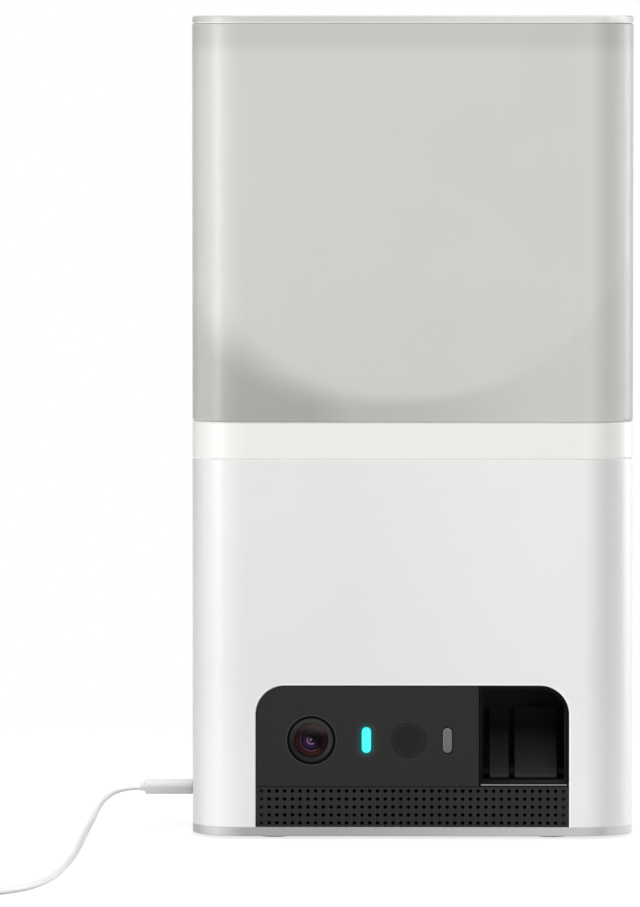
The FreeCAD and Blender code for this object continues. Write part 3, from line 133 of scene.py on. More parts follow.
class Graph(Tree):
    """A node material. A value that is the same all over is set on the shader's own socket."""

    def __init__(self, name):
        self.name = name
        self.material = bpy.data.materials.new(name)
        self.material.use_nodes = True
        super().__init__(self.material.node_tree)
        self.shader = self.tree.nodes["Principled BSDF"]
        self.output = self.tree.nodes["Material Output"]
        self.place = self.add("ShaderNodeTexCoord").outputs["Object"]

    def length(self, first, second):
        """The length of the vector with these two parts."""
        squares = [self.math("MULTIPLY", part, part) for part in (first, second)]
        return self.math("SQRT", self.math("ADD", *squares))

    def axes(self, source=None):
        """The three parts of the place, or of another vector."""
        node = self.add("ShaderNodeSeparateXYZ")
        self.put(node.inputs[0], source or self.place)
        return node.outputs

    def facing_up(self):
        """The upward part of the surface's direction, from -1 to 1."""
        return self.axes(self.add("ShaderNodeTexCoord").outputs["Normal"])[2]

    def noise(self, scale, detail=3.0, stretch=None):
        node = self.add("ShaderNodeTexNoise")
        where = self.place
        if stretch:
            mapping = self.add("ShaderNodeMapping")
            self.put(mapping.inputs["Vector"], where)
            mapping.inputs["Scale"].default_value = stretch
            where = mapping.outputs[0]
        self.put(node.inputs["Vector"], where)
        node.inputs["Scale"].default_value = scale
        node.inputs["Detail"].default_value = detail
        return node.outputs["Fac"]

    def ramp(self, factor, stops, smooth=True):
        """Colour stops as (place, colour)."""
        node = self.add("ShaderNodeValToRGB")
        node.color_ramp.interpolation = "EASE" if smooth else "LINEAR"
        points = node.color_ramp.elements
        while len(points) < len(stops):
            points.new(0.5)
        for point, (place, colour) in zip(points, stops):
            point.position = place
            point.color = (*colour, 1.0)
        self.put(node.inputs[0], factor)
        return node.outputs[0]

    def span(self, value, low, high, to_low=0.0, to_high=1.0, smooth=True):
        """Value from low to high becomes to_low to to_high, and stays there outside."""
        node = self.add("ShaderNodeMapRange", interpolation_type="SMOOTHSTEP" if smooth else "LINEAR")
        for socket, number in zip(node.inputs, (value, low, high, to_low, to_high)):
            self.put(socket, number)
        return node.outputs[0]

    def band(self, value, low, high, to_low=0.0, to_high=1.0, smooth=True):
        """As span, for a length, with low and high in millimetres."""
        return self.span(value, low * MM, high * MM, to_low, to_high, smooth)

    def mix(self, factor, first, second):
        node = self.add("ShaderNodeMix", data_type="RGBA")
        self.put(node.inputs[0], factor)
        self.put(node.inputs[6], first)
        self.put(node.inputs[7], second)
        return node.outputs[2]

    def bump(self, height, depth, below=None):
        node = self.add("ShaderNodeBump")
        node.inputs["Strength"].default_value = 1.0
        node.inputs["Distance"].default_value = depth
        self.put(node.inputs["Height"], height)
        if below is not None:
            self.put(node.inputs["Normal"], below)
        return node.outputs[0]

    def set(self, **values):
        for key, value in values.items():
            self.put(self.shader.inputs[key.replace("_", " ")], value)

    def paint(self, share, colour):
        """Lay a colour over the base colour so far, where share is 1."""
        under = self.shader.inputs["Base Color"].links[0].from_socket
        self.set(Base_Color=self.mix(share, under, (*colour, 1)))


def grey(level):
    return (level, level, level)


def shade(colour, share):
    return tuple(min(1.0, c * share) for c in colour)


def finish_of(name, colour, rough=0.4, rough_spread=0.06, vary=0.03, grain=1600.0, depth=0.004, cloud=35.0,
              **sockets):
    """A moulded, painted or cast finish: fine grain in the bump, soft clouding in the colour and the roughness.

    grain and cloud are noise scales, and depth is the grain's.
    """
    g = Graph(name)
    clouds = g.noise(cloud, 4.0)
    fine = g.noise(grain, 2.0)
    mixed = g.math("MULTIPLY_ADD", fine, 0.35, g.math("MULTIPLY", clouds, 0.65))
    g.set(Base_Color=g.ramp(mixed, [(0.3, shade(colour, 1 - vary)), (0.7, shade(colour, 1 + vary))]))
    g.set(Roughness=g.span(mixed, 0.3, 0.7, rough - rough_spread, rough + rough_spread))
    g.set(Normal=g.bump(fine, depth * MM))
    g.set(**sockets)
    return g


# ---------------------------------------------------------------- looks of the case

CASE_SIDE = 72.5  # x of the case's right side


def sleeve_look():
    """Satin silver white paint with painted light and shade: lighter towards the outlet's side, lower down and at
    the right edge, painted light along the top edge, and painted shade at the left end.
    """
    g = finish_of("sleeve_silver", grey(0.735), 0.36, 0.03, 0.006, 700.0, 0.0005)
    x, _, z = g.axes()
    top = box("body_sleeve")[1].z
    # painted light towards the outlet's side, low down, at the right edge and along the top edge; painted shade at
    # the left end
    g.paint(g.band(x, -30, 50), grey(0.785))
    g.paint(g.band(z, 5, 60, 0.3, 0.0), grey(0.95))
    g.paint(g.band(x, -CASE_SIDE, -67, 1.0, 0.0), grey(0.64))
    g.paint(g.band(x, 68, 71.5), grey(0.90))
    g.paint(g.band(z, top - 0.3, top), grey(0.96))
    return g


def collar_look():
    """Warm white moulding, with painted light at the outlet side's corner and along its lower edge."""
    g = finish_of("collar_white", (0.80, 0.79, 0.765), 0.36, 0.03, 0.008, 700.0, 0.0006)
    x, _, z = g.axes()
    seam = box("body_sleeve")[1].z
    # painted light at the outlet side's corner and along the seam at the lower edge
    g.paint(g.band(x, 54, 62), (0.91, 0.90, 0.87))
    g.paint(g.band(z, seam, seam + 0.4, 1.0, 0.0), (0.97, 0.96, 0.93))
    return g


def lid_look():
    """Warm white lid with painted light and shade: lighter towards the outlet's side, a painted highlight near its
    right end, painted shade at the very right end, and painted light on its lower edge and on top.
    """
    g = finish_of("lid_grey", (0.545, 0.54, 0.525), 0.38, 0.04, 0.012, 700.0, 0.0006)
    x, _, z = g.axes()
    rim = box("treat_container")[1].z
    # painted light towards the outlet's side and near the right end, painted shade at the right end, painted light
    # on the lower edge and on top
    g.paint(g.band(x, -30, 50), (0.66, 0.655, 0.635))
    g.paint(g.band(x, 55, 63), (0.84, 0.83, 0.81))
    g.paint(g.band(x, 62.5, 65.5), (0.96, 0.95, 0.93))
    g.paint(g.band(x, 68, 70.8), (0.45, 0.445, 0.43))
    g.paint(g.band(z, rim + 0.2, rim + 0.55, 1.0, 0.0), (0.95, 0.94, 0.92))
    g.paint(g.span(g.facing_up(), 0.75, 0.95), (0.80, 0.795, 0.78))
    return g


def base_look():
    """Grey moulded base with painted light: lighter towards the outlet's side, painted highlights at both corners,
    and painted shade at the very left end.
    """
    g = finish_of("base_grey", (0.37, 0.37, 0.367), 0.30, 0.03, 0.012, 900.0, 0.0005)
    x, _, _ = g.axes()
    # painted light towards the outlet's side, painted highlights at both corners, painted shade at the left end
    g.paint(g.band(x, -35, 60), (0.54, 0.54, 0.535))
    g.paint(g.band(x, 61.5, 65.5), (0.72, 0.72, 0.715))
    g.paint(g.band(x, -65, -54, 1.0, 0.0), (0.58, 0.58, 0.575))
    g.paint(g.band(x, -CASE_SIDE, -66.5, 1.0, 0.0), (0.33, 0.33, 0.327))
    return g


# The shade that the bowl's floor throws on the frosted wall: the floor's arc and its centre's height, and how deep
# the shade is, by share of the case's width from the left.
ARC_RADIUS = 75.4
ARC_CENTRE = 221.0
ARC_DEPTH = [(0.015, 0.14), (0.07, 0.36), (0.27, 0.375), (0.37, 0.22), (0.5, 0.20), (0.78, 0.05)]


def container_look():
    """Frosted translucent wall that lets some light through, its colour painted with shade and light: the bowl
    floor's painted shadow, a painted darker band where the lid's skirt is behind the wall, painted shade at the
    right edge, and painted light at the outlet side's corner and along the top and bottom edges.
    """
    g = Graph("container_frost")
    fine = g.noise(700.0, 2.0)
    clouds = g.noise(18.0, 3.0)
    plain = g.ramp(clouds, [(0.3, (0.846, 0.837, 0.810)), (0.7, (0.869, 0.860, 0.835))])
    x, _, z = g.axes()
    # painted shadow of the bowl's floor on the wall, below its arc
    drop = g.math("SUBTRACT", z, ARC_CENTRE * MM)
    below = g.math("SUBTRACT", g.length(x, drop), ARC_RADIUS * MM)
    shade_start = g.band(x, -68, -55, 4 * MM, -1 * MM)
    shade_end = g.band(x, -70, 10, 17 * MM, 3.5 * MM)
    under = g.math("MULTIPLY", g.span(below, shade_start, shade_end), g.math("LESS_THAN", drop, 0.0))
    low, high = box("treat_container")
    across = g.math("MULTIPLY_ADD", x, 1 / (2 * CASE_SIDE * MM), 0.5)
    depth = g.ramp(across, [(place, grey(level)) for place, level in ARC_DEPTH], smooth=False)
    share = g.math("SUBTRACT", 1.0, g.math("MULTIPLY", under, depth))
    # painted shade and light: the skirt's band, lighter at the outlet side's corner, darker at the right edge,
    # lighter along the top and bottom edges
    for part in (
        g.band(z, 256.5, 262, 1.0, 0.885),  # painted shade: a darker band where the lid's skirt is behind the wall
        g.band(x, 54, 62, 0.88, 1.0),
        g.band(x, 67.8, 70.6, 1.0, 0.68),
        g.band(z, high.z - 0.7, high.z - 0.2, 1.0, 1.2),
        g.band(z, low.z + 0.2, low.z + 1.0, 1.12, 1.0),
    ):
        share = g.math("MULTIPLY", share, part)
    g.set(Base_Color=g.mix(share, (0, 0, 0, 1), plain))
    g.set(Roughness=g.span(fine, 0.3, 0.7, 0.34, 0.40))
    g.set(Normal=g.bump(fine, 0.0006 * MM))
    g.set(Transmission_Weight=0.3, IOR=1.45)
    return g


# ---------------------------------------------------------------- looks of the front

FRONT_BLACK = (0.0125, 0.0125, 0.013)


def capsule_distance(g, middle, half):
    """How far a point is from the middle line of an upright capsule."""
    x, _, z = g.axes()
    across = g.math("ABSOLUTE", g.math("SUBTRACT", x, middle.x * MM))
    up = g.math("ABSOLUTE", g.math("SUBTRACT", z, middle.z * MM))
    over = g.math("MAXIMUM", g.math("SUBTRACT", up, (half.z - half.x) * MM), 0.0)
    return g.length(across, over)


def panel_look():
    """Matt black front with a painted glow of the status light round its window."""
    g = finish_of("panel_black", FRONT_BLACK, 0.5, 0.06, 0.08, 1200.0, 0.002, Specular_IOR_Level=0.17)
    middle, half = middle_of("status_light_pipe")
    # painted light: the status light's glow on the front, as emission
    near = g.band(capsule_distance(g, middle, half), half.x - 0.1, half.x + 2.5, 1.0, 0.0, smooth=False)
    glow = g.math("MULTIPLY", g.math("MULTIPLY", near, near), 0.07)
    g.set(Emission_Color=(0.0, 0.75, 0.75, 1.0), Emission_Strength=glow)
    return g


def grille_look():
    """The front's black, with painted shade inside the holes."""
    g = finish_of("grille_black", FRONT_BLACK, 0.5, 0.06, 0.08, 1200.0, 0.002, Specular_IOR_Level=0.17)
    front = box("speaker_grille")[0].y
    _, y, _ = g.axes()
    # painted shade inside the holes
    g.paint(g.band(y, front + 0.05, front + 0.3), grey(0.002))
    return g


def cloth_look():
    """Fine black weave."""
    g = finish_of("cloth_black", grey(0.003), 0.9, 0.05, 0.2, 1200.0, 0.01, Specular_IOR_Level=0.02)
    x, _, z = g.axes()
    threads = g.math("MULTIPLY", g.math("PINGPONG", x, 0.12 * MM), g.math("PINGPONG", z, 0.12 * MM))
    g.set(Normal=g.bump(threads, 20.0, below=g.shader.inputs["Normal"].links[0].from_socket))
    return g


def sensor_look():
    """Dark round window that fades into the front's black at its rim."""
    g = finish_of("sensor_dark", (0.005, 0.005, 0.0055), 0.3, 0.03, 0.1, 1500.0, 0.0005, Specular_IOR_Level=0.15)
    middle, half = middle_of("sensor_window")
    x, _, z = g.axes()
    far = g.length(g.math("SUBTRACT", x, middle.x * MM), g.math("SUBTRACT", z, middle.z * MM))
    g.paint(g.band(far, 0.80 * half.x, half.x), (0.0115, 0.0115, 0.012))
    return g


def status_look():
    """Lit cyan window."""
    g = Graph("light_cyan")
    fine = g.noise(1400.0, 2.0)
    g.set(Base_Color=g.ramp(fine, [(0.3, (0.02, 0.30, 0.30)), (0.7, (0.03, 0.36, 0.36))]), Roughness=0.35)
    g.set(Emission_Color=(0.022, 0.80, 0.80, 1.0), Emission_Strength=g.span(fine, 0.2, 0.8, 0.98, 1.06))
    return g


def aux_look():
    """Unlit window with a painted highlight that makes its rim lighter than its slightly darker middle."""
    g = finish_of("light_grey", grey(0.098), 0.35, 0.04, 0.06, 1400.0, 0.001)
    middle, half = middle_of("aux_light_pipe")
    # painted highlight round the rim
    g.paint(g.band(capsule_distance(g, middle, half), 0.5 * half.x, 0.85 * half.x), grey(0.14))
    return g


LENS_FAINT_REFLECTION = [  # painted reflection rings by share of the lens's radius, on the right and above, where they are faint
    (0.0, (0.004, 0.004, 0.005)), (0.30, (0.005, 0.003, 0.006)), (0.60, (0.006, 0.003, 0.004)),
    (0.68, (0.012, 0.004, 0.005)), (0.90, (0.014, 0.006, 0.005)), (1.0, (0.004, 0.003, 0.003)),
]
LENS_STRONG_REFLECTION = [  # the same painted reflection rings, low on the left, where the coating's painted reflection is strong
    (0.0, (0.02, 0.008, 0.02)), (0.17, (0.03, 0.012, 0.035)), (0.235, (0.32, 0.18, 0.33)),
    (0.30, (0.045, 0.020, 0.065)), (0.52, (0.020, 0.010, 0.038)), (0.60, (0.012, 0.005, 0.02)),
    (0.655, (0.16, 0.075, 0.09)), (0.71, (0.045, 0.009, 0.014)), (0.88, (0.05, 0.016, 0.013)),
    (1.0, (0.008, 0.004, 0.004)),
]
LENS_RADIUS = 5.6
LOW_LEFT = (-0.62, -0.78)  # the direction in which the painted reflection of the coating is strongest


def lens_inner_look():
    """Coated glass deep in the barrel with painted reflections: rings by radius, coloured low on the left, a grey
    painted reflection on top and a painted highlight spot near the middle.
    """
    g = Graph("lens_inner")
    centre, _ = middle_of("camera_bezel")
    x, _, z = g.axes()
    dx = g.math("MULTIPLY", g.math("SUBTRACT", x, centre.x * MM), 1 / MM)
    dz = g.math("MULTIPLY", g.math("SUBTRACT", z, centre.z * MM), 1 / MM)
    far = g.length(dx, dz)
    share = g.math("DIVIDE", far, LENS_RADIUS)
    along = g.math("ADD", g.math("MULTIPLY", dx, LOW_LEFT[0]), g.math("MULTIPLY", dz, LOW_LEFT[1]))
    side = g.math("DIVIDE", along, g.math("MAXIMUM", far, 0.05))
    g.set(Base_Color=g.mix(g.span(side, -0.25, 0.75), g.ramp(share, LENS_FAINT_REFLECTION), g.ramp(share, LENS_STRONG_REFLECTION)))
    # painted reflection: grey on top
    g.paint(g.math("MULTIPLY", g.span(dz, 0.9, 5.2), 0.9), (0.085, 0.072, 0.062))
    # painted highlight: a small spot near the middle
    spot = g.length(g.math("ADD", dx, 0.22), g.math("SUBTRACT", dz, 0.08))
    g.paint(g.span(spot, 0.25, 0.62, 1.0, 0.0), (0.19, 0.14, 0.17))
    g.set(Roughness=g.span(g.noise(1500.0), 0.3, 0.7, 0.3, 0.4), Specular_IOR_Level=0.0)
    return g


def lens_glass_look():
    """Clear front glass with a faint smear."""
    g = Graph("lens_glass")
    smear = g.noise(60.0, 2.0)
    g.set(Base_Color=(0.01, 0.008, 0.01, 1), Alpha=0.06, IOR=1.45, Specular_IOR_Level=0.3)
    g.set(Roughness=g.span(smear, 0.35, 0.8, 0.32, 0.36))
    return g


def bezel_ring_look():
    """Satin black ring with a painted highlight that makes it a shade lighter on top."""
    g = finish_of("bezel_ring", grey(0.007), 0.5, 0.05, 0.1, 1500.0, 0.001, Specular_IOR_Level=0.15)
    centre, _ = middle_of("camera_bezel")
    _, _, z = g.axes()
    # painted highlight on top
    g.paint(g.band(z, centre.z - 2, centre.z + 7), grey(0.034))
    return g


KICKER_SLOT = 7.2  # from the kicker's left side to the middle of the slot between its fingers


def kicker_look():
    """Dark fingers with painted light and shade: darker higher up, a painted highlight along their top, painted
    light low on the hub, and painted shade on the hub under the slot between them.
    """
    low, high = box("kicker")
    g = finish_of("kicker_grey", (0.034, 0.034, 0.0345), 0.6, 0.05, 0.1, 1200.0, 0.002, Specular_IOR_Level=0.08)
    x, _, z = g.axes()
    # painted shade higher up, a painted highlight along the top, painted light low on the hub
    g.paint(g.band(z, low.z + 4, high.z - 6, smooth=False), grey(0.009))
    g.paint(g.band(z, high.z - 6, high.z), grey(0.024))
    g.paint(g.band(z, low.z, low.z + 2.5, 1.0, 0.0), grey(0.15))
    # painted shade on the hub under the slot between the fingers
    slot = g.math("ABSOLUTE", g.math("SUBTRACT", x, (low.x + KICKER_SLOT) * MM))
    g.paint(g.band(slot, 0.9, 1.1, 1.0, 0.0), grey(0.003))
    return g


def chute_look():
    """Matt black chute with painted light: lighter further in than round its mouth, and paler on its floor."""
    mouth = box("launch_chute")[0].y
    floor = box("kicker")[0].z
    g = finish_of("chute_grey", grey(0.038), 0.6, 0.06, 0.1, 1200.0, 0.002, Specular_IOR_Level=0.05)
    _, y, z = g.axes()
    # painted light: the floor paler; near black round the mouth, a lighter painted grey further in
    g.paint(g.band(z, floor, floor + 1, 1.0, 0.0), grey(0.05))
    g.paint(g.band(y, mouth + 1, mouth + 4, 1.0, 0.0), grey(0.002))
    return g


# ---------------------------------------------------------------- looks of the cord, the metal and the boards

def cord_look():
    """White jacket with painted shade underneath."""
    g = finish_of("cord_white", (0.95, 0.95, 0.945), 0.4, 0.05, 0.02, 1100.0, 0.004, 60.0)
    # painted shade on the underside
    g.paint(g.span(g.facing_up(), -0.75, -0.05, 1.0, 0.0), grey(0.70))
    return g


def plug_look():
    """White moulding with painted shade round its middle height, lighter on top and underneath."""
    g = finish_of("plug_white", (0.88, 0.88, 0.875), 0.4, 0.05, 0.02, 1100.0, 0.004, 60.0)
    # painted shade by facing: darker round the middle height
    side = g.math("ABSOLUTE", g.math("ADD", g.facing_up(), 0.12))
    g.paint(g.span(side, 0.05, 1.0, 1.0, 0.0, smooth=False), grey(0.56))
    return g


def steel_look():
    """Brushed steel."""
    g = Graph("steel")
    streaks = g.noise(900.0, 3.0, stretch=(1.0, 1.0, 0.06))
    g.set(Base_Color=g.ramp(streaks, [(0.3, (0.50, 0.50, 0.51)), (0.7, (0.68, 0.68, 0.69))]))
    g.set(Roughness=g.span(streaks, 0.3, 0.7, 0.22, 0.38), Metallic=1.0)
    g.set(Normal=g.bump(streaks, 0.003 * MM))
    return g


def board_look():
    """Solder mask with faint tracks."""
    g = Graph("board_green")
    x, _, z = g.axes()
    tracks = g.math("MULTIPLY", g.math("PINGPONG", x, 0.8 * MM), 1 / (0.8 * MM))
    rows = g.math("MULTIPLY", g.math("PINGPONG", z, 1.4 * MM), 1 / (1.4 * MM))
    lines = g.math("MULTIPLY", g.math("GREATER_THAN", tracks, 0.7), g.math("GREATER_THAN", rows, 0.3))
    g.set(Base_Color=g.mix(lines, (0.02, 0.12, 0.05, 1), (0.03, 0.19, 0.08, 1)), Roughness=0.35)
    g.set(Normal=g.bump(g.noise(800.0), 0.01 * MM))
    return g


# ---------------------------------------------------------------- looks of the studio

def floor_look():
    """Pale floor, white in the open, which keeps the object's shadow."""
    g = Graph("floor")
    x, y, _ = g.axes()
    far = g.length(g.math("ADD", x, 40 * MM), g.math("ADD", y, 80 * MM))
    grain = g.noise(300.0)
    g.set(Base_Color=g.ramp(grain, [(0.3, grey(0.60)), (0.7, grey(0.63))]), Roughness=0.8)
    g.set(Specular_IOR_Level=0.0)
    matt, glow, near = g.add("ShaderNodeBsdfDiffuse"), g.add("ShaderNodeEmission"), g.add("ShaderNodeAddShader")
    g.put(matt.inputs["Color"], (*grey(0.34), 1))
    g.put(glow.inputs["Strength"], 0.78)
    g.put(near.inputs[0], matt.outputs[0])
    g.put(near.inputs[1], glow.outputs[0])
    in_the_open = g.add("ShaderNodeEmission")
    seen = g.mix_shaders(g.band(far, 250, 500), near.outputs[0], in_the_open.outputs[0])
    g.put(g.output.inputs[0], g.mix_shaders(g.background_ray(), g.shader.outputs[0], seen))
    return g


# ---------------------------------------------------------------- all looks, and the nodes that carry them

LOOKS = {look.name: look for look in (
    sleeve_look(), collar_look(), lid_look(), base_look(), container_look(),
    panel_look(), grille_look(), cloth_look(), sensor_look(), status_look(), aux_look(),
    lens_inner_look(), lens_glass_look(), bezel_ring_look(), kicker_look(), chute_look(),
    cord_look(), plug_look(), steel_look(), board_look(), floor_look(),
    finish_of("foot_rubber", (0.80, 0.80, 0.79), 0.6, 0.06, 0.03, 900.0, 0.01),
    finish_of("frame_grey", (0.35, 0.35, 0.36), 0.55),
    finish_of("steel_dark", grey(0.012), 0.6, 0.05, 0.1, 900.0, 0.001, Specular_IOR_Level=0.05),
    # the outlet's lip: its grey, lighter than the black round it, is a painted highlight along its edge
    finish_of("lip_grey", grey(0.17), 0.4, 0.05, 0.06),
    finish_of("bezel_black", grey(0.012), 0.3, 0.05, 0.1),
    finish_of("bezel_rim", (0.018, 0.0185, 0.018), 0.45, 0.05, 0.1, 1500.0, 0.001, Specular_IOR_Level=0.25),
    finish_of("groove_black", grey(0.003), 0.5, 0.05, 0.1, Specular_IOR_Level=0.05),
    finish_of("cone_black", grey(0.008), 0.7, 0.08, 0.15, 900.0, 0.01, Specular_IOR_Level=0.1),
    finish_of("gear_white", (0.82, 0.82, 0.78), 0.42, 0.05, 0.03, 900.0, 0.01),
    finish_of("brass", (0.78, 0.58, 0.28), 0.3, 0.08, 0.08, 700.0, 0.004, Metallic=1.0),
    finish_of("wheel_white", (0.76, 0.76, 0.74), 0.45, 0.05, 0.03),
    finish_of("bowl_white", (0.66, 0.655, 0.64), 0.42, 0.05, 0.02),
    finish_of("gasket_grey", (0.5, 0.5, 0.495), 0.6, 0.05, 0.05),
    finish_of("rear_grey", grey(0.42), 0.5, 0.06, 0.05, 1300.0, 0.012),
    finish_of("tie_white", (0.70, 0.70, 0.68), 0.7, 0.08, 0.08, 2400.0, 0.05),
    # the window edge's chamfer, coloured lighter than the sleeve as a painted highlight
    finish_of("edge_painted_highlight", grey(0.86), 0.36, 0.03, 0.01, 900.0, 0.0005, Metallic=0.3),
    # the pale lip in the collar's seam: painted light where the gap's shade would show
    finish_of("seam_painted_light", (0.66, 0.65, 0.63), 0.5, 0.03, 0.01, 900.0, 0.0005),
    finish_of("flag", grey(0.01), 0.9, 0.05, 0.1, Specular_IOR_Level=0.0),
)}

NODE_LOOKS = {
    "base_grey": ["base_plate"],
    "foot_rubber": ["rubber_feet"],
    "steel_dark": ["kicker_shaft", "kicker_bushes"],
    "steel": ["base_screws", "kick_motor", "kicker_spring", "drive_shaft", "portion_motor",
              "release_spring", "board_shield", "dc_plug_pin", "usb_plug_shell"],
    "sleeve_silver": ["body_sleeve"],
    "collar_white": ["collar_ring", "release_button"],
    "frame_grey": ["inner_frame", "kick_motor_bracket", "drop_duct", "portion_drive_bracket",
                   "latch_bracket"],
    "panel_black": ["front_panel", "reset_button", "power_jack"],
    "grille_black": ["speaker_grille"],
    "cone_black": ["speaker_cone", "speaker_housing", "camera_lens"],
    "bezel_black": ["camera_bezel", "camera_barrel"],
    "sensor_dark": ["sensor_window"],
    "board_green": ["camera_board", "light_board", "main_board"],
    "chute_grey": ["launch_chute"],
    "lip_grey": ["outlet_lip"],
    "kicker_grey": ["kicker"],
    "gear_white": ["kicker_gear", "drive_gear", "drive_bush"],
    "brass": ["kick_pinion", "portion_pinion", "wall_inserts"],
    "wheel_white": ["portion_housing", "portion_wheel", "stirrer", "drop_baffle"],
    "container_frost": ["treat_container"],
    "bowl_white": ["hopper_bowl"],
    "lid_grey": ["lid"],
    "gasket_grey": ["lid_gasket"],
    "rear_grey": ["rear_panel"],
    "cord_white": ["dc_plug", "power_cord", "cord_coil", "usb_plug_body"],
    "tie_white": ["cord_tie"],
    "light_cyan": ["status_light_pipe"],
    "light_grey": ["aux_light_pipe"],
}

for look_name, members in NODE_LOOKS.items():
    for member in members:
        for slot in nodes[member].material_slots:
            slot.material = LOOKS[look_name].material


# ---------------------------------------------------------------- mesh helpers

def place_piece(obj, slot, *stands_for):
    """The piece's material slot, which is not used, and the nodes it stands for, which are hidden. All such pieces
    ride the base.
    """
    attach(obj, "base")
    if stands_for:
        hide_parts(*stands_for)
    return obj


def mesh_object(name, vertices, faces, looks, face_looks=None, smooth=True):
    """A mesh in the scene, with its faces turned outward. face_looks holds each face's number in looks."""
    mesh = bpy.data.meshes.new(name)
    mesh.from_pydata([tuple(v) for v in vertices], [], faces)
    for look in looks:
        mesh.materials.append(LOOKS[look].material)
    if face_looks:
        mesh.polygons.foreach_set("material_index", face_looks)
    bm = bmesh.new()
    bm.from_mesh(mesh)
    bmesh.ops.recalc_face_normals(bm, faces=bm.faces)
    bm.to_mesh(mesh)
    bm.free()
    mesh.polygons.foreach_set("use_smooth", [smooth] * len(mesh.polygons))
    mesh.update()
    obj = bpy.data.objects.new(name, mesh)
    scene.collection.objects.link(obj)
    return obj


def soften(obj, angle=35.0):
    """Smooth over shallow edges and sharp over the rest."""
    limit = math.radians(angle)
    bm = bmesh.new()
    bm.from_mesh(obj.data)
    for edge in bm.edges:
        edge.smooth = len(edge.link_faces) == 2 and edge.calc_face_angle(0.0) < limit
    bm.to_mesh(obj.data)
    bm.free()
    return obj


def joined(first, second):
    """Faces between two rings, which are lists of vertex numbers. A ring of one number is a pole."""
    faces = []
    count = max(len(first), len(second))
    for i in range(count):
        j = (i + 1) % count
        if len(first) == 1:
            faces.append((first[0], second[i], second[j]))
        elif len(second) == 1:
            faces.append((first[i], first[j], second[0]))
        else:
            faces.append((first[i], first[j], second[j], second[i]))
    return faces


def lathe(name, profile, origin, axis, looks, segments=96, around=False):
    """Turn a profile of (radius, along), in millimetres, about an axis through origin.

    A place may have the number of the look up to the next place. If around, the last is joined to the first.
    """
    along = Vector(axis).normalized()
    side = along.orthogonal().normalized()
    other = along.cross(side)
    vertices, rings, faces, face_looks = [], [], [], []
    for radius, place, *_ in profile:
        centre = Vector(origin) + along * place * MM
        turns = [2 * math.pi * i / segments for i in range(segments if radius > 0 else 1)]
        rings.append(list(range(len(vertices), len(vertices) + len(turns))))
        for turn in turns:
            vertices.append(centre + (side * math.cos(turn) + other * math.sin(turn)) * radius * MM)
    pairs = list(zip(rings, rings[1:])) + ([(rings[-1], rings[0])] if around else [])
    for (first, second), (_, _, *look) in zip(pairs, profile):
        band = joined(first, second)
        faces += band
        face_looks += [look[0] if look else 0] * len(band)
    return soften(mesh_object(name, vertices, faces, looks, face_looks))


def loft(name, rings, looks, around=False, angle=35.0):
    """Join rings of as many points each, the last to the first if around. If not, both ends are closed."""
    count = len(rings[0])
    vertices = [p for ring in rings for p in ring]
    numbers = [list(range(k * count, (k + 1) * count)) for k in range(len(rings))]
    faces = []
    for first, second in zip(numbers, numbers[1:] + (numbers[:1] if around else [])):
        faces += joined(first, second)
    if not around:
        faces += [tuple(numbers[0]), tuple(numbers[-1])]
    return soften(mesh_object(name, vertices, faces, looks), angle)


def rounded_ring(width, height, radius, corner=8):
    """Points of a rounded rectangle about the origin, as (across, up) in millimetres."""
    points = []
    for cx, cy, first in ((1, 1, 0), (-1, 1, 90), (-1, -1, 180), (1, -1, 270)):
        for i in range(corner + 1):
            turn = math.radians(first + 90 * i / corner)
            points.append((
                cx * (width / 2 - radius) + radius * math.cos(turn),
                cy * (height / 2 - radius) + radius * math.sin(turn),
            ))
    return points


def ring_at(points, y, x, z):
    """Points of (across, up) stood up at y, about x and z."""
    return [mm(x + a, y, z + b) for a, b in points]


# ---------------------------------------------------------------- the cord

CORD_DIAMETER = 2.2
CORD_EXIT = (-90.7, 10.0, 13.1)
CORD_ROUTE = [
    CORD_EXIT, (-97.5, 9.6, 13.0), (-103.7, 5.5, 9.0), (-106.2, -5.0, 3.6), (-107.8, -20.0, 1.1),
    (-108.2, -48.0, 1.1), (-108.4, -95.0, 1.1), (-110.2, -140.0, 1.1), (-113.0, -178.0, 1.1),
    (-119.5, -207.0, 1.1), (-134.0, -224.5, 1.1), (-151.0, -231.0, 1.2), (-166.0, -232.0, 2.0),
]
COIL_CENTRE = (-166.0, -215.2)
COIL_RADII = [16.85, 14.65, 12.45, 10.25, 8.05]
COIL_HEIGHTS = [2.0, 4.233, 6.467, 8.7]
COIL_POINTS = 16  # control points in a turn
COIL_PULL = 0.981  # a quadratic spline runs at this share of the radius of its control points
COIL_START = 270.0  # degrees round the coil, falling as the cord winds
MOVE = 40.0  # the degrees that a move to the next turn or layer takes
TURN_MOVE = 330.0  # where the first layer's moves to the next turn start, and each layer's MOVE further on
LAYER_MOVE = 350.0  # the same for the moves to the next layer
LEAVE_TURNS = (142.0, 194.0, 19.05)  # the end moves outward, from and to these degrees after the last move
LEAVE_HEIGHT = (160.0, 230.0, 3.5)  # and down
USB_X = -185.1
USB_LEAD = [(USB_X, -210.5, 3.5), (USB_X, -206.0, 3.5), (USB_X, -203.0, 3.5)]


def smooth_step(t):
    t = min(1.0, max(0.0, t))
    return t * t * (3 - 2 * t)


def coil_moves():
    """Where the winding moves to the next turn or layer, as (from, to, radius, height) with falling angles."""
    moves, angle = [], COIL_START

    def move(start, radius, height):
        nonlocal angle
        while start > angle:
            start -= 360.0
        angle = start - MOVE
        moves.append((start, angle, radius, height))

    for layer, height in enumerate(COIL_HEIGHTS):
        radii = COIL_RADII[::-1] if layer % 2 else COIL_RADII
        for radius in radii[1:]:
            move(TURN_MOVE + MOVE * layer, radius, height)
        if layer + 1 < len(COIL_HEIGHTS):
            move(LAYER_MOVE + MOVE * layer, radii[-1], COIL_HEIGHTS[layer + 1])
    return moves, angle


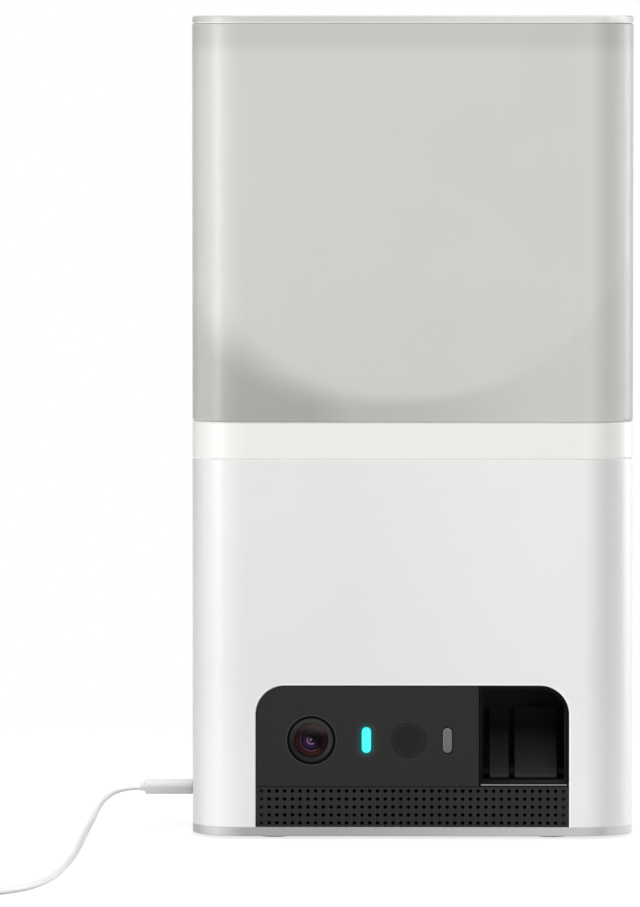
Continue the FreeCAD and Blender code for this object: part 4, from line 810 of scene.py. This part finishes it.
def coil_points():
    """The spline's control points through the coil, from its outermost turn to the lead to the USB plug."""
    moves, last = coil_moves()
    out_from, out_to, out_radius = LEAVE_TURNS
    down_from, down_to, down_height = LEAVE_HEIGHT
    moves.append((last - out_from, last - out_to, out_radius, None))
    moves.append((last - down_from, last - down_to, None, down_height))
    points, angle, step = [], COIL_START, 360.0 / COIL_POINTS
    while angle - step >= last - down_to - 0.01:
        angle -= step
        radius, height = COIL_RADII[0], COIL_HEIGHTS[0]
        for start, stop, to_radius, to_height in moves:
            done = smooth_step((start - angle) / (start - stop))
            if to_radius is not None:
                radius += (to_radius - radius) * done
            if to_height is not None:
                height += (to_height - height) * done
        reach = radius / COIL_PULL
        turn = math.radians(angle)
        points.append((COIL_CENTRE[0] + reach * math.cos(turn), COIL_CENTRE[1] + reach * math.sin(turn), height))
    return points


def make_cord():
    """The whole cord as one curve, with every turn of its coil."""
    curve = bpy.data.curves.new("cord", "CURVE")
    curve.dimensions = "3D"
    curve.resolution_u = 6
    curve.bevel_depth = CORD_DIAMETER / 2 * MM
    curve.bevel_resolution = 5
    curve.use_fill_caps = True
    curve.materials.append(LOOKS["cord_white"].material)
    points = CORD_ROUTE + coil_points() + USB_LEAD
    spline = curve.splines.new("NURBS")
    spline.points.add(len(points) - 1)
    for point, place in zip(spline.points, points):
        point.co = (*mm(*place), 1.0)
    spline.order_u = 3
    spline.use_endpoint_u = True
    obj = bpy.data.objects.new("cord", curve)
    scene.collection.objects.link(obj)
    return place_piece(obj, "cord_white", "power_cord", "cord_coil")


# ---------------------------------------------------------------- the camera's lens

# Profiles turned about the lens's axis, as (radius, y). The bezel's also have each place's number in BEZEL_LOOKS.
BEZEL_LOOKS = ["bezel_rim", "groove_black", "bezel_ring"]
BEZEL_PROFILE = [
    (8.18, -33.5, 0), (8.18, -36.45, 0), (8.50, -36.60, 0), (8.45, -36.7, 0), (8.25, -36.76, 0), (8.02, -36.7, 0),
    (7.97, -36.45, 1), (7.94, -35.3, 1), (7.20, -35.3, 1),
    (7.17, -36.3, 2), (7.08, -36.5, 2), (6.9, -36.55, 2), (5.75, -36.05, 2),
    (5.60, -35.9, 1), (5.56, -35.2, 1), (5.42, -35.1, 1), (5.42, -33.5, 1),
]
GLASS_RADIUS = 5.5
GLASS_FRONT = -36.25
GLASS_CROWN = 0.55  # how far back the rim of its curved front stands
GLASS_STEPS = 12
GLASS_BACK = [(GLASS_RADIUS, -35.3), (0, -35.2)]
ELEMENT_PROFILE = [  # steps where the reflections' rings are
    (0.0, -34.55), (0.8, -34.5), (1.3, -34.38), (1.36, -34.46), (1.56, -34.46), (1.62, -34.36), (2.6, -34.2),
    (3.5, -33.9), (3.55, -34.3), (3.78, -34.3), (3.84, -34.1), (4.6, -34.4), (4.66, -34.5), (5.35, -34.85),
    (5.42, -35.0), (5.42, -33.6), (0.0, -33.6),
]


def make_camera_front():
    """Bezel, curved front glass, and the element deep in the barrel."""
    centre, _ = middle_of("camera_bezel")
    origin, axis = mm(centre.x, 0, centre.z), (0, 1, 0)
    bezel = lathe("bezel", BEZEL_PROFILE, origin, axis, BEZEL_LOOKS, around=True)
    place_piece(bezel, "bezel_black", "camera_bezel")
    shares = [i / GLASS_STEPS for i in range(GLASS_STEPS + 1)]
    crown = [(GLASS_RADIUS * share, GLASS_FRONT + GLASS_CROWN * share ** 2) for share in shares]
    glass = lathe("front_glass", crown + GLASS_BACK, origin, axis, ["lens_glass"])
    place_piece(glass, "lens_glass", "camera_lens")
    element = lathe("lens_element", ELEMENT_PROFILE, origin, axis, ["lens_inner"])
    place_piece(element, "lens_glass")


# ---------------------------------------------------------------- light windows

LIGHT_HALF = (1.52, 4.10)  # half its width and half its height
LIGHT_DOME = [(0.0, 0.22), (0.08, 0.07), (0.25, 0.0), (0.6, -0.05), (1.0, -0.07)]  # inset, and y from the front


def capsule_ring(half_width, half_height, y, x, z, count=12):
    """Points of an upright capsule at y, about x and z."""
    points = []
    reach = half_height - half_width
    for first, shift in ((0, reach), (180, -reach)):
        for i in range(count + 1):
            turn = math.radians(first + 180 * i / count)
            points.append(mm(x + half_width * math.cos(turn), y, z + shift + half_width * math.sin(turn)))
    return points


def make_light_window(name, node, look):
    """Capsule with a low dome in front."""
    middle, half = middle_of(node)
    front = middle.y - half.y
    wide, tall = LIGHT_HALF
    places = [(0.0, middle.y + half.y)] + [(inset, front + back) for inset, back in LIGHT_DOME]
    rings = [capsule_ring(wide - inset, tall - inset, y, middle.x, middle.z) for inset, y in places]
    place_piece(loft(name, rings, [look]), look, node)


# ---------------------------------------------------------------- the window's edge, with a painted highlight

WINDOW_ROUND = 9.5
WINDOW_STEPS = 16  # in each of its two corners
WINDOW_GAP = 0.25  # from the chute's sides and top to the window's
WINDOW_SECTION = [  # how far outward, and y from the sleeve's face
    (0.52, 0.1), (0.52, -0.03), (0.40, -0.05), (0.18, 0.10), (0.01, 0.32), (0.0, 0.6), (0.2, 0.6),
]


def window_path():
    """The window's outline from low on the left to low on the right, as (x, z, outward x, outward z)."""
    low, high = box("launch_chute")
    right, top, bottom = high.x + WINDOW_GAP, high.z + WINDOW_GAP, low.z
    path = [(-right, bottom, -1.0, 0.0)]
    for cx, first in ((-right + WINDOW_ROUND, 180), (right - WINDOW_ROUND, 90)):
        for i in range(WINDOW_STEPS + 1):
            turn = math.radians(first - 90 * i / WINDOW_STEPS)
            out, up = math.cos(turn), math.sin(turn)
            path.append((cx + WINDOW_ROUND * out, top - WINDOW_ROUND + WINDOW_ROUND * up, out, up))
    path.append((right, bottom, 1.0, 0.0))
    return path


def make_window_edge():
    """Thin trim along the sleeve's front window: its chamfer, coloured lighter than the sleeve as a painted
    highlight.
    """
    face = box("body_sleeve")[0].y
    rings = []
    for x, z, nx, nz in window_path():
        rings.append([mm(x + out * nx, face + back, z + out * nz) for out, back in WINDOW_SECTION])
    place_piece(loft("window_edge", rings, ["edge_painted_highlight"]), "sleeve_silver")


# ---------------------------------------------------------------- the lip in the collar's seam

CASE_CORNER = 17.0
CORNER_STEPS = 24
LIP_INSETS = (0.42, 1.4)  # of its outer and inner side
LIP_LET_IN = 0.05  # into the collar's top, and below the container


def make_collar_lip():
    """Low pale lip round the collar's top, just inside the seam under the container: it fills the seam's gap with
    painted light where its shade would show.
    """
    _, half = middle_of("collar_ring")
    bottom = box("collar_ring")[1].z - LIP_LET_IN
    top = box("treat_container")[0].z - LIP_LET_IN
    outer, inner = LIP_INSETS
    rings = []
    for inset, z in ((outer, bottom), (outer, top), (inner, top), (inner, bottom)):
        ring = rounded_ring(2 * (half.x - inset), 2 * (half.y - inset), CASE_CORNER - inset, CORNER_STEPS)
        rings.append([mm(a, b, z) for a, b in ring])
    place_piece(loft("collar_lip", rings, ["seam_painted_light"], around=True), "collar_white")


# ---------------------------------------------------------------- the cloth behind the grille

CLOTH_MARGINS = (1.0, 0.6)  # how much narrower and lower than the grille it is
CLOTH_THICK = 0.15


def make_grille_cloth():
    """Thin sheet against the grille's back."""
    middle, half = middle_of("speaker_grille")
    narrower, lower = CLOTH_MARGINS
    outline = rounded_ring(2 * half.x - narrower, 2 * half.z - lower, 1.0)
    back = middle.y + half.y
    rings = [ring_at(outline, y, middle.x, middle.z) for y in (back, back + CLOTH_THICK)]
    place_piece(loft("grille_cloth", rings, ["cloth_black"]), "panel_black")


# ---------------------------------------------------------------- plugs and tie

DC_GROOVE = 0.12  # how deep the grip's groove is


def make_dc_plug():
    """Moulded grip with a strain relief at the cord's side and a groove near its face."""
    low, high = box("dc_plug")
    middle, half = middle_of("dc_plug")
    start, end, radius = low.x, high.x, half.z
    groove = radius - DC_GROOVE
    profile = [
        (0.0, start), (1.18, start), (1.28, start + 0.05), (1.42, start + 0.5), (1.5, start + 1.25),
        (1.7, start + 1.4), (2.2, start + 1.5), (groove, start + 1.62), (radius, start + 1.9),
        (radius, end - 1.0), (groove, end - 0.85), (groove, end - 0.65), (radius, end - 0.5),
        (radius, end - 0.1), (radius - 0.1, end), (0.0, end),
    ]
    plug = lathe("dc_plug_grip", profile, mm(0, middle.y, middle.z), (1, 0, 0), ["plug_white"], segments=64)
    return place_piece(plug, "cord_white", "dc_plug")


USB_BLOCK = 22.0  # how long the plug's block is, from its face
USB_RIBS = 4
USB_RIB_START = 8.0  # from the block's back
USB_RIB_PITCH = 1.6


def make_usb_plug():
    """Ribbed block that narrows to a strain relief round the cord."""
    middle, half = middle_of("usb_plug_body")
    width, height = 2 * half.x, 2 * half.z
    back, face = middle.y - half.y, middle.y + half.y
    block = face - USB_BLOCK
    sections = [  # y, width, height, corner
        (back, 2.5, 2.5, 1.24), (back + 0.3, 2.9, 2.9, 1.44), (block - 1.5, 3.2, 3.2, 1.59),
        (block, 3.6, 3.4, 1.6), (block + 0.8, 6.5, 4.6, 1.9), (block + 2.2, 9.4, 6.2, 2.2),
        (block + 4.5, width - 0.3, height - 0.2, 2.3), (block + 7.0, width, height, 2.2),
    ]
    for k in range(USB_RIBS):
        y = block + USB_RIB_START + USB_RIB_PITCH * k
        sections += [
            (y, width, height, 2.0), (y + 0.3, width - 0.7, height - 0.5, 1.8),
            (y + 0.8, width - 0.7, height - 0.5, 1.8), (y + 1.1, width, height, 2.0),
        ]
    sections += [(face - 0.4, width, height, 1.8), (face, width - 0.8, height - 0.8, 1.4)]
    rings = [ring_at(rounded_ring(w, h, r), y, middle.x, middle.z) for y, w, h, r in sections]
    return place_piece(loft("usb_grip", rings, ["cord_white"]), "cord_white", "usb_plug_body")


SHELL_CORNER = 0.6
SHELL_PARTS = 12  # across its top and its bottom
SHELL_HOLES = (2, 3, 8, 9)  # the parts that its latch holes take up
SHELL_HOLE_PLACES = (4.2, 6.4)  # from its start
SHELL_WALL = 0.3
SHELL_TAPER = 0.96  # the mouth's size at its very end
SHELL_TAPER_LENGTH = 0.3
TONGUE_NARROWER = 1.4  # than the shell
TONGUE_SHORTER = 0.8
TONGUE_THICK = 1.7
TONGUE_RISE = 0.9


def make_usb_shell():
    """Sheet metal mouth with its two pairs of latch holes and the tongue inside."""
    middle, half = middle_of("usb_plug_shell")
    start, end = middle.y - half.y, middle.y + half.y
    across = [(half.x - SHELL_CORNER) * (2 * i / SHELL_PARTS - 1) for i in range(SHELL_PARTS + 1)]
    side = half.z - SHELL_CORNER
    ring = [
        (half.x, side), *[(a, half.z) for a in reversed(across)], (-half.x, side),
        (-half.x, -side), *[(a, -half.z) for a in across], (half.x, -side),
    ]
    places = [start, *(start + hole for hole in SHELL_HOLE_PLACES), end - SHELL_TAPER_LENGTH, end]
    count = len(ring)
    holes = {first + part for first in (1, SHELL_PARTS + 4) for part in SHELL_HOLES}
    vertices, faces = [], []
    for k, y in enumerate(places):
        share = SHELL_TAPER if y == end else 1.0
        vertices += ring_at([(a * share, b * share) for a, b in ring], y, middle.x, middle.z)
        numbers = list(range(k * count, (k + 1) * count))
        if k:
            band = joined([number - count for number in numbers], numbers)
            faces += [face for i, face in enumerate(band) if k != 2 or i not in holes]
    shell = mesh_object("usb_shell", vertices, faces, ["steel"], smooth=False)
    wall = shell.modifiers.new("wall", "SOLIDIFY")
    wall.thickness = SHELL_WALL * MM
    wall.offset = -1
    place_piece(shell, "steel", "usb_plug_shell")
    outline = rounded_ring(2 * half.x - TONGUE_NARROWER, TONGUE_THICK, 0.2, 3)
    rings = [ring_at(outline, y, middle.x, middle.z + TONGUE_RISE) for y in (start, end - TONGUE_SHORTER)]
    tongue = loft("usb_tongue", rings, ["gear_white"])
    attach(tongue, "base")
    return [shell, tongue]


STRAP_THICK = 0.8
STRAP_CORNERS = (2.6, 1.9)  # of its outer and inner side
STRAP_EDGE = 0.15


def make_tie():
    """Strap round the coil's turns."""
    middle, half = middle_of("cord_tie")
    outer = rounded_ring(2 * half.x, 2 * half.z, STRAP_CORNERS[0])
    inner = rounded_ring(2 * (half.x - STRAP_THICK), 2 * (half.z - STRAP_THICK), STRAP_CORNERS[1])
    rings = []
    for ring, side in ((outer, 1), (inner, 1), (inner, -1), (outer, -1)):
        rings.append(ring_at(ring, middle.y + side * half.y, middle.x, middle.z))
    strap = loft("tie_strap", rings, ["tie_white"], around=True, angle=50.0)
    edge = strap.modifiers.new("edge", "BEVEL")
    edge.width = STRAP_EDGE * MM
    edge.segments = 2
    return place_piece(strap, "tie_white", "cord_tie")


# ---------------------------------------------------------------- all pieces

cord = make_cord()
make_camera_front()
make_light_window("status_window", "status_light_pipe", "light_cyan")
make_light_window("aux_window", "aux_light_pipe", "light_grey")
make_window_edge()
make_collar_lip()
make_grille_cloth()
make_dc_plug()
make_usb_plug()
make_usb_shell()
make_tie()


# ---------------------------------------------------------------- studio

CENTRE = Vector((0.0, 0.0, 0.13))  # metres, as all lengths of the studio are
FLOOR_REACH = 30.0
FLAG_FOOT = 0.01  # how far above the floor a flag starts


def toward(azimuth, elevation, distance):
    """A place round the object: azimuth 0 is the front, and grows to the right."""
    a, e = math.radians(azimuth), math.radians(elevation)
    return CENTRE + distance * Vector((math.sin(a) * math.cos(e), -math.cos(a) * math.cos(e), math.sin(e)))


def lamp(name, azimuth, elevation, distance, wide, tall, power):
    """A rectangular light that shines at the object."""
    data = bpy.data.lights.new(name, "AREA")
    data.shape = "RECTANGLE"
    data.size, data.size_y = wide, tall
    data.energy = power
    obj = bpy.data.objects.new(name, data)
    scene.collection.objects.link(obj)
    obj.location = toward(azimuth, elevation, distance)
    obj.rotation_euler = (CENTRE - obj.location).to_track_quat("-Z", "Y").to_euler()


def make_world():
    """White where it is seen, grey where it lights the object."""
    scene.world = bpy.data.worlds.new("studio")
    scene.world.use_nodes = True
    scene.world.node_tree.nodes.clear()
    tree = Tree(scene.world.node_tree)
    lit, seen = tree.add("ShaderNodeBackground"), tree.add("ShaderNodeBackground")
    tree.put(lit.inputs["Color"], (*grey(0.432), 1))
    tree.put(seen.inputs["Color"], (*grey(1.0), 1))
    both = tree.mix_shaders(tree.background_ray(), lit.outputs[0], seen.outputs[0])
    tree.put(tree.add("ShaderNodeOutputWorld").inputs[0], both)


def make_floor():
    corners = [(-FLOOR_REACH, -FLOOR_REACH, 0), (FLOOR_REACH, -FLOOR_REACH, 0),
               (FLOOR_REACH, FLOOR_REACH, 0), (-FLOOR_REACH, FLOOR_REACH, 0)]
    mesh_object("floor", corners, [(0, 1, 2, 3)], ["floor"], smooth=False)


def make_flag(name, azimuth, distance, wide, tall):
    """A black card beside the object, for the dark band that its edge shows. The camera doesn't see it."""
    middle = toward(azimuth, 0, distance)
    side = Vector((0, 0, 1)).cross((CENTRE - middle).normalized()) * wide / 2
    up = Vector((0, 0, tall))
    foot = middle - Vector((0, 0, middle.z - FLAG_FOOT))
    corners = [foot - side, foot + side, foot + side + up, foot - side + up]
    flag = mesh_object(name, corners, [(0, 1, 2, 3)], ["flag"], smooth=False)
    flag.visible_camera = False
    flag.visible_shadow = False


make_world()
make_floor()
make_flag("flag_right", 62, 1.4, 0.58, 1.6)
make_flag("flag_back_left", -124, 1.4, 1.5, 1.6)
lamp("key", 14, 8, 1.25, 0.5, 1.2, 5.5)
lamp("strip_left", -60, 4, 1.5, 0.36, 1.5, 19)
lamp("fill_left", -32, 12, 1.6, 0.8, 1.2, 1.6)
lamp("rim_right", 120, 10, 1.5, 0.7, 1.3, 16)
lamp("top", 0, 90, 1.5, 0.6, 0.6, 5.0)
